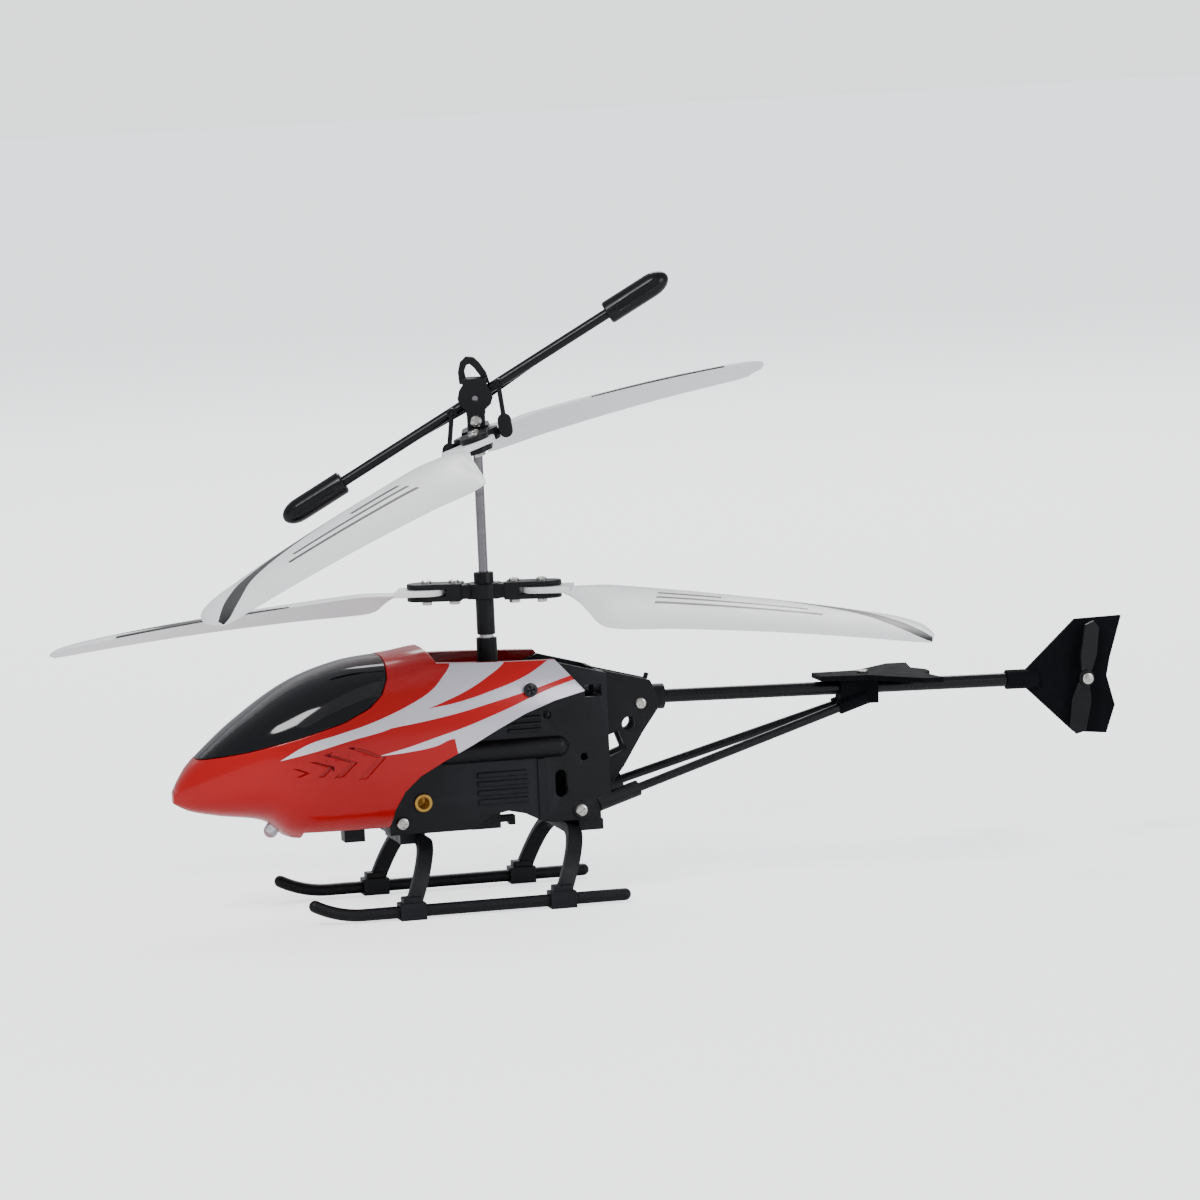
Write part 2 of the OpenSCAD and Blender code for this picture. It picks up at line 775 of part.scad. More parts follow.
// ---------- stabiliser bar ----------

weight_len = 15;
weight_r = 2.5;

module bar_rod() {
    reach = bar_len / 2 - weight_len + 4;
    color(black) bar_frame() difference() {
        union() {
            rod_y(1.1, -reach, reach);
            rod_x(2.4, -1.1, 1.1);
            for (s = [-1, 1]) {
                translate([0, s * bar_arm, 0]) rod_x(link_pin_r, 0, 3.1);
                translate([0, s * bar_arm, 0]) rod_x(1, 0, 1.6);
            }
        }
        rod_x(screw_r + run, -3, 3);
    }
}

// Bullet-shaped weight with a flat recess on two faces
module bar_weight() {
    difference() {
        rotate([-90, 0, 0]) translate([0, 0, bar_len / 2 - weight_len]) rotate_extrude() polygon(concat(
            [[0, 0], [weight_r - 0.3, 0], [weight_r, 0.4], [weight_r, weight_len - 4]],
            [for (a = [15 : 15 : 90]) [weight_r * cos(a), weight_len - 4 + 4 * sin(a)]]
        ));
        rod_y(1.1, 0, bar_len / 2 - weight_len + 4);
        for (s = [-1, 1]) {
            translate([s * 2.5, bar_len / 2 - weight_len / 2, 0]) cube([1, weight_len - 5, 1.6], center = true);
        }
    }
}

module bar_weight_a() color(black) bar_frame() bar_weight();

module bar_weight_b() color(black) bar_frame() mirror([0, 1, 0]) bar_weight();

// Link hanging from the bar; its lower eye is a slot, so the loop keeps a little play
module link(s) {
    eye_r = 1.05;
    slot = 1.1;
    slot_r = 0.95;
    foot_r = 1.45;
    slot_floor = 0.75;
    pin = [0, s * bar_arm * cos(bar_tilt), s * bar_arm * sin(bar_tilt)];
    head_frame() translate([link_x - 0.5, 0, bar_z]) translate(pin) rotate([s * link_lean, 0, 0]) {
        difference() {
            union() {
                rod_x(eye_r, 0, 1);
                box([0, -0.5, -link_len], [1, 0.5, 0]);
                box([0, -foot_r, -link_len - slot], [1, foot_r, -link_len + slot]);
                for (k = [-1, 1]) {
                    translate([0, 0, -link_len + k * slot]) rod_x(foot_r, 0, 1);
                }
            }
            rod_x(link_pin_r + run, -1, 2);
            box([-1, -slot_r, -link_len - slot], [slot_floor, slot_r, -link_len + slot]);
            for (k = [-1, 1]) {
                translate([0, 0, -link_len + k * slot]) rod_x(slot_r, -1, slot_floor);
            }
        }
    }
}

module link_a() color(black) link(1);

module link_b() color(black) link(-1);

// ---------- tail ----------

module boom_line() translate(boom_root) rotate([-boom_droop, 0, 0]) children();

module tail_boom() color(black) row() boom_line() rod_y(boom_r, -9, boom_len);

clamp_y = 44;

// Clamp around the boom with two sockets for the struts
module boom_clamp() {
    color(black) row() difference() {
        union() {
            boom_line() box([-2.4, clamp_y - 4.4, -3.4], [2.4, clamp_y + 4, 1.9]);
            both_sides() rod_along(strut_a, strut_b, 1.5, norm(strut_b - strut_a) - 5, norm(strut_b - strut_a) + 1.5);
        }
        boom_line() rod_y(boom_r, 0, 100);
        boom_line() translate([0, clamp_y + 1, 0]) cylinder(r = screw_r, h = 5);
        both_sides() rod_along(strut_a, strut_b, strut_r, 0, norm(strut_b - strut_a) - 1);
    }
}

module tailplane() {
    h = tailplane_span / 2;
    outline = [
        [-4, 34.8], [4, 34.8], [5, 45], [h, 54.4], [h, 59], [5.4, 57.4], [1.6, 59.6],
        [-1.6, 59.6], [-5.4, 57.4], [-h, 59], [-h, 54.4], [-5, 45]
    ];
    color(black) row() boom_line() difference() {
        translate([0, 0, 1.9]) linear_extrude(1.1) polygon(outline);
        translate([0, clamp_y + 1, 1]) cylinder(r = screw_r, h = 4);
    }
}

module tailplane_screw() {
    color(steel) row() boom_line() translate([0, clamp_y + 1, 0]) {
        translate([0, 0, 1.5]) cylinder(r = screw_r, h = 1.6);
        translate([0, 0, 3]) cylinder(r = 1.2, h = 0.6);
    }
}

// Both struts run from the sockets low on the frame to the clamp under the boom
module strut() rod_along(strut_a, strut_b, strut_r, -2.6, norm(strut_b - strut_a) - 1);

module strut_left() color(black) row() mirror([1, 0, 0]) strut();

module strut_right() color(black) row() strut();

module fin() {
    up = fin_h / 2;
    outline = [
        [81.4, 1.9], [92.6, up], [103, up + 0.4], [100.4, 4], [99.6, 0], [101.4, -6.5], [99.4, -up],
        [92, -up + 0.6], [81.4, -1.9]
    ];
    color(black) row() boom_line() difference() {
        union() {
            side_slab(outline, -0.6, 0.6);
            rod_y(2.1, boom_len - 5, boom_len + 2);
            translate([0, 94, 0]) rod_x(1.8, -0.9, 0.9);
        }
        rod_y(boom_r, 0, boom_len);
        translate([0, 94, 0]) rod_x(0.7, -3, 3);
    }
}

module prop_pin() {
    color(steel) row() boom_line() translate([0, 94, 0]) {
        rod_x(0.7, -0.9, 4.7);
        rod_x(1.2, 4.7, 5.3);
    }
}

// Two-blade side propeller on the fin
module tail_prop() {
    color(black) row() boom_line() translate([0, 94, 0]) difference() {
        union() {
            rod_x(1.7, 1.3, 4.4);
            for (a = [0, 180]) {
                rotate([a - 8, 0, 0]) translate([2.8, 0, 0]) rotate([0, 0, 18]) {
                    side_slab([[-1, 0], [1, 0], [2.2, 5], [1.9, 11], [0.4, 12.4], [-1.6, 11.4], [-2, 5]], -0.35, 0.35);
                }
            }
        }
        rod_x(0.7 + run, -1, 6);
    }
}

// ---------- landing gear ----------

// Arched cross-piece: a bar under the frame and two bowed legs with a foot on each skid
module bow(i) {
    top_y = foot_y[i] + (bow_top_z - 3) * tan(bow_lean);
    rise = (bow_top_z - 2.6) / cos(bow_lean);
    reach = skid_x - 8.6;
    arc = function (grow) [for (a = [0 : 6 : 90]) [8.6 + (reach + grow) * sin(a), (rise + grow) * cos(a) - rise]];
    row() difference() {
        union() {
            translate([0, top_y, bow_top_z - 0.9]) rotate([-bow_lean, 0, 0]) {
                both_sides() rotate([90, 0, 0]) translate([0, 0, -1.6]) linear_extrude(3.2) {
                    polygon(concat([[0, 0.9]], arc(0.9), [for (k = [15 : -1 : 0]) arc(-1.1)[k]], [[0, -1.1]]));
                }
            }
            box([-inside_x, leg_lug_y[i] - 2.6, 16.4], [inside_x, leg_lug_y[i] + 4.6, 19.8]);
            box([-inside_x, leg_lug_y[i] - 0.4, bow_top_z - 1.6], [inside_x, leg_lug_y[i] + 5, 16.5]);
            both_sides() {
                box([skid_x - 2.2, foot_y[i] - 2.8, 0], [skid_x + 2.2, foot_y[i] + 2.8, 3.6]);
                box([skid_x - 1.6, foot_y[i] - 2, 3.4], [skid_x + 1.6, foot_y[i] + 2, 4.8]);
            }
        }
        both_sides() translate([skid_x, 0, skid_z]) rod_y(skid_r, -60, 60);
        translate([0, leg_lug_y[i], leg_lug_z]) rod_x(screw_r, 6.4, 20);
        translate([0, leg_lug_y[i], leg_lug_z]) rod_x(screw_r, -20, -6.4);
    }
}

module front_bow() color(black) bow(0);

module rear_bow() color(black) bow(1);

// Skid rod with a turned-up toe and rounded ends
module skid(s) {
    bend = 22;
    angle = 28;
    row() translate([s * skid_x, 0, skid_z]) {
        rod_y(skid_r, -33, 23);
        translate([0, 23, 0]) sphere(skid_r);
        translate([0, -33, bend]) rotate([0, 90, 0]) rotate([0, 0, -angle]) {
            rotate_extrude(angle = angle) translate([bend, 0]) circle(skid_r);
        }
        translate([0, -33 - bend * sin(angle), bend - bend * cos(angle)]) sphere(skid_r);
    }
}

module skid_left() color(black) skid(-1);

module skid_right() color(black) skid(1);

// ---------- nodes ----------

canopy();
windscreen();
canopy_pegs();
canopy_screws();
frame_left();
frame_right();
top_block();
motor_plate();
bottom_block();
boom_socket();
belly_plate();
lamp_holder();
nose_lamp();
frame_screws();
battery();
circuit_board();
receiver();
charge_socket();
switch_case();
switch_slider();
front_motor();
rear_motor();
front_pinion();
rear_pinion();
mast_bushing();
outer_shaft();
outer_gear();
lower_hub();
lower_screws();
lower_blade_a();
lower_blade_b();
inner_shaft();
inner_gear();
rotor_head();
head_screw();
holder_pin();
bar_pin();
blade_holder();
holder_screws();
upper_blade_a();
upper_blade_b();
bar_rod();
bar_weight_a();
bar_weight_b();
link_a();
link_b();
tail_boom();
boom_clamp();
tailplane();
tailplane_screw();
strut_left();
strut_right();
fin();
prop_pin();
tail_prop();
front_bow();
rear_bow();
skid_left();
skid_right();
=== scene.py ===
import bpy
import bmesh
import json
from math import radians, sin, cos, pi, copysign
from mathutils import Matrix, Vector


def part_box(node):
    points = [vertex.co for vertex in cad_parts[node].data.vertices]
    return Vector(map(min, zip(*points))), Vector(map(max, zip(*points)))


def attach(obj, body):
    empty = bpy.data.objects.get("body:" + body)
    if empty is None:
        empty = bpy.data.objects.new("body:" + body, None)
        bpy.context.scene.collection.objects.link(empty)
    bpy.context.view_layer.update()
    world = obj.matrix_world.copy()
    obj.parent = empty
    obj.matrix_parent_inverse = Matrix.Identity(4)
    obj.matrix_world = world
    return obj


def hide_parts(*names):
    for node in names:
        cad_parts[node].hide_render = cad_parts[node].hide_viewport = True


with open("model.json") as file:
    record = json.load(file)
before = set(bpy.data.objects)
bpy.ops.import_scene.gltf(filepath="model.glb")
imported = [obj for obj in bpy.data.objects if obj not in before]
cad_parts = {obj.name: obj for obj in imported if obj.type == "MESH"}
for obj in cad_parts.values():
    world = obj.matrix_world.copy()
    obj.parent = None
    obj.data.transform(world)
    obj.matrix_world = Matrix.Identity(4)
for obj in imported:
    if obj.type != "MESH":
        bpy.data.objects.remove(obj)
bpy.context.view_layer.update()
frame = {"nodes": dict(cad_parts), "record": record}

# Everything is modelled in millimetres with Y counted from the mast, then carried into the row frame
mm = 0.001
shaftLow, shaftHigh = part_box("inner_shaft")
mastY = (shaftLow.y + shaftHigh.y) / 2
toRow = Matrix.Translation((0, mastY, 0)) @ Matrix.Scale(mm, 4)
fromRow = toRow.inverted()

record = frame["record"]
bodyOf = {node: body for body, nodes in record["behaviour"]["bodies"].items() for node in nodes}
slotOf = {part["node"]: part["material_slot"] for part in record["subparts"]}


def linear(hexText, alpha=1.0):
    parts = [int(hexText[i:i + 2], 16) / 255 for i in (1, 3, 5)]
    return tuple(c / 12.92 if c <= 0.04045 else ((c + 0.055) / 1.055) ** 2.4 for c in parts) + (alpha,)


cameraSpec = {"azimuth": 77, "elevation": 6.3, "roll": -2.6, "distance": 1.5, "lens": 212, "aim": (0, 25, 62)}


def setCamera(spec):
    az, el = radians(spec["azimuth"]), radians(spec["elevation"])
    away = Vector((sin(az) * cos(el), -cos(az) * cos(el), sin(el)))
    target = toRow @ Vector(spec["aim"])
    data = bpy.data.cameras.new("camera")
    data.lens = spec["lens"]
    data.clip_start = 0.01
    camera = bpy.data.objects.new("camera", data)
    bpy.context.collection.objects.link(camera)
    turn = (-away).to_track_quat("-Z", "Y").to_matrix().to_4x4()
    roll = Matrix.Rotation(radians(spec["roll"]), 4, "Z")
    camera.matrix_world = Matrix.Translation(target + away * spec["distance"]) @ turn @ roll
    bpy.context.scene.camera = camera


def addLight(name, place, aim, size, power):
    data = bpy.data.lights.new(name, "AREA")
    data.shape = "DISK"
    data.size = size
    data.energy = power
    light = bpy.data.objects.new(name, data)
    bpy.context.collection.objects.link(light)
    light.location = place
    light.rotation_euler = (Vector(aim) - Vector(place)).to_track_quat("-Z", "Y").to_euler()


setCamera(cameraSpec)
lights = {
    "keyLight": {"place": (0.9, -0.75, 1.15), "aim": (0, 0, 0.06), "size": 0.5, "power": 15},
    "sideLight": {"place": (1.1, 0.9, 0.5), "aim": (0, 0, 0.06), "size": 0.7, "power": 6},
    "backLight": {"place": (-1.0, 0.3, 0.9), "aim": (0, 0, 0.08), "size": 0.7, "power": 9},
}
for name, spec in lights.items():
    addLight(name, spec["place"], spec["aim"], spec["size"], spec["power"])
world = bpy.data.worlds.new("studio")
bpy.context.scene.world = world
world.use_nodes = True


def addNode(tree, kind, settings=None, links=None):
    node = tree.nodes.new(kind)
    for key, value in (settings or {}).items():
        if isinstance(key, str) and hasattr(node, key):
            setattr(node, key, value)
        else:
            node.inputs[key].default_value = value
    for key, socket in (links or {}).items():
        tree.links.new(socket, node.inputs[key])
    return node


# Soft room light, with a brighter plain wall behind for the eye alone
def makeRoom(roomLight, wallLight):
    tree = world.node_tree
    room = tree.nodes["Background"]
    room.inputs["Color"].default_value = linear("#eef2f8")
    room.inputs["Strength"].default_value = roomLight
    wall = addNode(tree, "ShaderNodeBackground", {"Color": linear("#f4f6f9"), "Strength": wallLight})
    ray = addNode(tree, "ShaderNodeLightPath")
    mixed = addNode(tree, "ShaderNodeMixShader", None, {0: ray.outputs["Is Camera Ray"], 1: room.outputs[0],
                                                        2: wall.outputs[0]})
    tree.links.new(mixed.outputs[0], tree.nodes["World Output"].inputs["Surface"])


makeRoom(roomLight=0.6, wallLight=1.95)
print("camera and lights set")


def startMaterial(name, shaderSettings):
    material = bpy.data.materials.new(name)
    material.use_nodes = True
    tree = material.node_tree
    shader = tree.nodes["Principled BSDF"]
    for key, value in shaderSettings.items():
        shader.inputs[key].default_value = value
    coords = addNode(tree, "ShaderNodeTexCoord")
    return material, tree, shader, coords.outputs["Object"]


# grain height as a share of its width
grainDepth = 0.06


# Two tones through soft noise, a roughness that drifts, fine grain in the bump, and paler rubbed edges
def moulded(name, spec, shaderSettings=None):
    material, tree, shader, place = startMaterial(name, shaderSettings or {})
    perMetre = 1 / mm
    clouds = addNode(tree, "ShaderNodeTexNoise", {"Scale": perMetre / spec["cloudMm"], "Detail": 4},
                     {"Vector": place})
    tone = addNode(tree, "ShaderNodeMix", {"data_type": "RGBA", 6: linear(spec["tones"][0]),
                                           7: linear(spec["tones"][1])}, {0: clouds.outputs["Fac"]})
    wear = addNode(tree, "ShaderNodeNewGeometry")
    edge = addNode(tree, "ShaderNodeMapRange", {"From Min": 0.53, "From Max": 0.66, "To Max": spec["wear"]},
                   {"Value": wear.outputs["Pointiness"]})
    worn = addNode(tree, "ShaderNodeMix", {"data_type": "RGBA", 7: linear(spec.get("worn", "#5a5d62"))},
                   {0: edge.outputs[0], 6: tone.outputs[2]})
    tree.links.new(worn.outputs[2], shader.inputs["Base Color"])
    smears = addNode(tree, "ShaderNodeTexNoise", {"Scale": perMetre / spec["smearMm"], "Detail": 6,
                                                  "Roughness": 0.6}, {"Vector": place})
    low, high = spec["roughness"]
    rough = addNode(tree, "ShaderNodeMapRange", {"From Min": 0.3, "From Max": 0.7, "To Min": low,
                                                 "To Max": high}, {"Value": smears.outputs["Fac"]})
    tree.links.new(rough.outputs[0], shader.inputs["Roughness"])
    grain = addNode(tree, "ShaderNodeTexNoise", {"Scale": perMetre / spec["grainMm"], "Detail": 2},
                    {"Vector": place})
    bump = addNode(tree, "ShaderNodeBump", {"Strength": spec["bump"],
                                            "Distance": spec["grainMm"] * mm * grainDepth},
                   {"Height": grain.outputs["Fac"]})
    tree.links.new(bump.outputs["Normal"], shader.inputs["Normal"])
    return material, tree, shader, place, worn


# Straight lines turned or drawn into a metal part, along or around its own axis
def brushed(name, spec):
    material, tree, shader, place = startMaterial(name, {"Metallic": 1.0})
    perMetre = 1 / mm
    stretch = addNode(tree, "ShaderNodeMapping", {"Scale": spec["stretch"]}, {"Vector": place})
    lines = addNode(tree, "ShaderNodeTexNoise", {"Scale": perMetre / spec["lineMm"], "Detail": 5},
                    {"Vector": stretch.outputs["Vector"]})
    tone = addNode(tree, "ShaderNodeMix", {"data_type": "RGBA", 6: linear(spec["tones"][0]),
                                           7: linear(spec["tones"][1])}, {0: lines.outputs["Fac"]})
    tree.links.new(tone.outputs[2], shader.inputs["Base Color"])
    low, high = spec["roughness"]
    rough = addNode(tree, "ShaderNodeMapRange", {"From Min": 0.3, "From Max": 0.7, "To Min": low,
                                                 "To Max": high}, {"Value": lines.outputs["Fac"]})
    tree.links.new(rough.outputs[0], shader.inputs["Roughness"])
    bump = addNode(tree, "ShaderNodeBump", {"Strength": 0.15, "Distance": 0.02 * mm},
                   {"Height": lines.outputs["Fac"]})
    tree.links.new(bump.outputs["Normal"], shader.inputs["Normal"])
    return material


# Edges of the silver flashes in side view: places along Y with their heights, all in mm
flashLines = {
    "crestTop": [(-48.1, 34.5), (-41.8, 37.9), (-36, 39.5), (-30.2, 41.1), (-25.2, 42.8), (-20.1, 44.9),
                 (-15.9, 47.1), (-12.9, 49.7), (-10.8, 52), (-9.5, 56), (0.9, 56)],
    "crestLow": [(-48.1, 34.5), (-41.9, 35.9), (-33.6, 38.1), (-25.3, 40), (-17.7, 43.3), (-13.6, 44.7),
                 (-8.5, 46.6), (-3.5, 49.1), (0.9, 51.9), (3, 56)],
    "waistTop": [(-25.3, 41), (-17.8, 43.4), (-10.4, 44.5), (-2.9, 46.3), (4.6, 48.6), (10.5, 51.4),
                 (20, 56)],
    "waistLow": [(-25.4, 40.1), (-17.1, 41.2), (-10.5, 42.3), (-3, 43.9), (7.8, 46.3), (14, 47.8), (20, 49)],
    "skirtTop": [(-27.4, 34.6), (-21.6, 35.9), (-15.7, 37.5), (-9.1, 39.3), (-4.1, 40.9), (0.9, 42.6),
                 (7.6, 45), (14.1, 46.8), (20, 48)],
    "skirtLow": [(-27.4, 34.5), (-21.6, 34.9), (-15.8, 35.7), (-11.4, 37), (-11.2, 35.2), (-8, 30), (20, 30)],
}
flashSpan = {"y": (-50.0, 20.0), "z": (28.0, 58.0)}


def fillCurve(curveNode, points):
    curve = curveNode.mapping.curves[0]
    curve.points[0].location = points[0]
    curve.points[1].location = points[-1]
    for point in points[1:-1]:
        curve.points.new(*point)
    for point in curve.points:
        point.handle_type = "AUTO_CLAMPED"
    curveNode.mapping.update()


# Gloss ABS: injection moulded, coloured through, so it is even and deep with soft wide highlights
def redShellFinish():
    spec = {"tones": ("#a60005", "#b20207"), "cloudMm": 22, "smearMm": 14, "roughness": (0.23, 0.25),
            "grainMm": 1.6, "bump": 0.0, "wear": 0.0}
    material, tree, shader, place, shell = moulded("glossAbsRed", spec, {
        "Specular IOR Level": 0.28, "Coat Weight": 0.18, "Coat Roughness": 0.06})
    axes = addNode(tree, "ShaderNodeSeparateXYZ", None, {"Vector": place})
    (y0, y1), (z0, z1) = flashSpan["y"], flashSpan["z"]
    alongY = addNode(tree, "ShaderNodeMapRange", {"From Min": mastY + y0 * mm, "From Max": mastY + y1 * mm,
                                                  "clamp": False}, {"Value": axes.outputs["Y"]})
    upZ = addNode(tree, "ShaderNodeMapRange", {"From Min": z0 * mm, "From Max": z1 * mm, "clamp": False},
                  {"Value": axes.outputs["Z"]})
    heights = {}
    for name, points in flashLines.items():
        curveNode = addNode(tree, "ShaderNodeFloatCurve", None, {"Value": alongY.outputs[0]})
        curveNode.mapping.extend = "HORIZONTAL"
        fillCurve(curveNode, [((y - y0) / (y1 - y0), (z - z0) / (z1 - z0)) for y, z in points])
        heights[name] = curveNode.outputs[0]
    flash = None
    for band, start in (("crest", -48), ("waist", -25.3), ("skirt", -27.3)):
        above = addNode(tree, "ShaderNodeMath", {"operation": "GREATER_THAN"},
                        {0: upZ.outputs[0], 1: heights[band + "Low"]})
        below = addNode(tree, "ShaderNodeMath", {"operation": "LESS_THAN"},
                        {0: upZ.outputs[0], 1: heights[band + "Top"]})
        behind = addNode(tree, "ShaderNodeMath", {"operation": "GREATER_THAN", 1: (start - y0) / (y1 - y0)},
                         {0: alongY.outputs[0]})
        inside = addNode(tree, "ShaderNodeMath", {"operation": "MULTIPLY"},
                         {0: above.outputs[0], 1: below.outputs[0]})
        inside = addNode(tree, "ShaderNodeMath", {"operation": "MULTIPLY"},
                         {0: inside.outputs[0], 1: behind.outputs[0]})
        if flash is None:
            flash = inside
        else:
            flash = addNode(tree, "ShaderNodeMath", {"operation": "MAXIMUM"}, {0: flash.outputs[0],
                                                                              1: inside.outputs[0]})
    # the print is on the outside only: there the surface faces away from the middle of the canopy
    surface = addNode(tree, "ShaderNodeNewGeometry")
    facing = addNode(tree, "ShaderNodeSeparateXYZ", None, {"Vector": surface.outputs["Normal"]})
    sameSide = addNode(tree, "ShaderNodeMath", {"operation": "MULTIPLY"}, {0: facing.outputs["X"],
                                                                          1: axes.outputs["X"]})
    outside = addNode(tree, "ShaderNodeMath", {"operation": "GREATER_THAN", 1: 0.0}, {0: sameSide.outputs[0]})
    flash = addNode(tree, "ShaderNodeMath", {"operation": "MULTIPLY"}, {0: flash.outputs[0],
                                                                       1: outside.outputs[0]})
    # printed silver: pale at the nose end, greyer toward the rear edge
    fade = addNode(tree, "ShaderNodeMix", {"data_type": "RGBA", 6: linear("#eceaf0"), 7: linear("#b9b5c4")},
                   {0: alongY.outputs[0]})
    colour = addNode(tree, "ShaderNodeMix", {"data_type": "RGBA"},
                     {0: flash.outputs[0], 6: shell.outputs[2], 7: fade.outputs[2]})
    tree.links.new(colour.outputs[2], shader.inputs["Base Color"])
    metal = addNode(tree, "ShaderNodeMath", {"operation": "MULTIPLY", 1: 0.35}, {0: flash.outputs[0]})
    tree.links.new(metal.outputs[0], shader.inputs["Metallic"])
    return material


# Print on a blade, as shares of its length and of its chord: the swoosh, then straight rules
swooshLines = {
    "front": [(0.0, -0.3), (0.34, -0.04), (0.55, 0.0), (0.75, 0.13), (0.9, 0.43), (1.0, 0.74)],
    "rear": [(0.0, -0.3), (0.34, 0.0), (0.55, 0.1), (0.75, 0.3), (0.9, 0.68), (1.0, 1.0)],
}
ruleBoxes = [(0.28, 0.34, 0.3, 0.46), (0.42, 0.47, 0.3, 0.68), (0.55, 0.6, 0.3, 0.72), (-0.1, 0.06, 0.5, 0.8)]


# Milky polypropylene: flexible, a little translucent, with a satin skin and a printed dark swoosh
def bladeFinish():
    spec = {"tones": ("#f8fafa", "#ffffff"), "cloudMm": 20, "smearMm": 8, "roughness": (0.32, 0.45),
            "grainMm": 0.8, "bump": 0.05, "wear": 0.1, "worn": "#ffffff"}
    material, tree, shader, place, skin = moulded("milkyPolypropylene", spec, {
        "Subsurface Weight": 0.25, "Subsurface Radius": (0.002, 0.002, 0.0022), "Subsurface Scale": 1.0})
    chart = addNode(tree, "ShaderNodeUVMap", {"uv_map": "bladeMap"})
    axes = addNode(tree, "ShaderNodeSeparateXYZ", None, {"Vector": chart.outputs["UV"]})
    along, across = axes.outputs["X"], axes.outputs["Y"]
    edges = {}
    for name, points in swooshLines.items():
        curveNode = addNode(tree, "ShaderNodeFloatCurve", None, {"Value": along})
        curveNode.mapping.use_clip = False
        fillCurve(curveNode, points)
        edges[name] = curveNode.outputs[0]
    past = addNode(tree, "ShaderNodeMath", {"operation": "GREATER_THAN"}, {0: across, 1: edges["front"]})
    short = addNode(tree, "ShaderNodeMath", {"operation": "LESS_THAN"}, {0: across, 1: edges["rear"]})
    swoosh = addNode(tree, "ShaderNodeMath", {"operation": "MULTIPLY"}, {0: past.outputs[0],
                                                                        1: short.outputs[0]})
    # three plain rules where a maker prints notes, and a thin line along the leading edge
    rules = None
    for low, high, start, stop in ruleBoxes:
        bars = [addNode(tree, "ShaderNodeMath", {"operation": kind, 1: value}, {0: socket})
                for kind, value, socket in (("GREATER_THAN", low, across), ("LESS_THAN", high, across),
                                            ("GREATER_THAN", start, along), ("LESS_THAN", stop, along))]
        product = bars[0]
        for bar in bars[1:]:
            product = addNode(tree, "ShaderNodeMath", {"operation": "MULTIPLY"}, {0: product.outputs[0],
                                                                                 1: bar.outputs[0]})
        rules = product if rules is None else addNode(tree, "ShaderNodeMath", {"operation": "MAXIMUM"},
                                                      {0: rules.outputs[0], 1: product.outputs[0]})
    ink = addNode(tree, "ShaderNodeMath", {"operation": "MAXIMUM"}, {0: rules.outputs[0],
                                                                     1: swoosh.outputs[0]})
    inkTone = addNode(tree, "ShaderNodeMix", {"data_type": "RGBA", 6: linear("#3a3434"), 7: linear("#121116")},
                      {0: along})
    colour = addNode(tree, "ShaderNodeMix", {"data_type": "RGBA"},
                     {0: ink.outputs[0], 6: skin.outputs[2], 7: inkTone.outputs[2]})
    tree.links.new(colour.outputs[2], shader.inputs["Base Color"])
    return material


def tintedFinish():
    # tinted polycarbonate: nearly black, polished, with only a faint orange peel
    spec = {"tones": ("#030407", "#06070b"), "cloudMm": 18, "smearMm": 9, "roughness": (0.06, 0.1),
            "grainMm": 3.5, "bump": 0.02, "wear": 0.0}
    return moulded("tintedPolycarbonate", spec, {"IOR": 1.45, "Specular IOR Level": 0.45})[0]


def blackNylonFinish(name="blackNylon", roughness=(0.38, 0.55), grain=0.45, sheen=0.28):
    # glass-filled nylon: bluish black, satin, with the fine spark of a textured mould
    spec = {"tones": ("#040508", "#07080d"), "cloudMm": 9, "smearMm": 3, "roughness": roughness,
            "grainMm": grain, "bump": 0.2, "wear": 0.3, "worn": "#22252e"}
    return moulded(name, spec, {"Specular IOR Level": sheen})[0]


def clearFinish():
    # clear acrylic: water-white with a polished skin
    material, tree, shader, place = startMaterial("clearAcrylic", {
        "Transmission Weight": 0.75, "IOR": 1.49, "Alpha": 1.0})
    clouds = addNode(tree, "ShaderNodeTexNoise", {"Scale": 900.0, "Detail": 2}, {"Vector": place})
    tone = addNode(tree, "ShaderNodeMix", {"data_type": "RGBA", 6: linear("#f2f4f8"), 7: linear("#dfe4ee")},
                   {0: clouds.outputs["Fac"]})
    tree.links.new(tone.outputs[2], shader.inputs["Base Color"])
    rough = addNode(tree, "ShaderNodeMapRange", {"To Min": 0.04, "To Max": 0.14},
                    {"Value": clouds.outputs["Fac"]})
    tree.links.new(rough.outputs[0], shader.inputs["Roughness"])
    return material


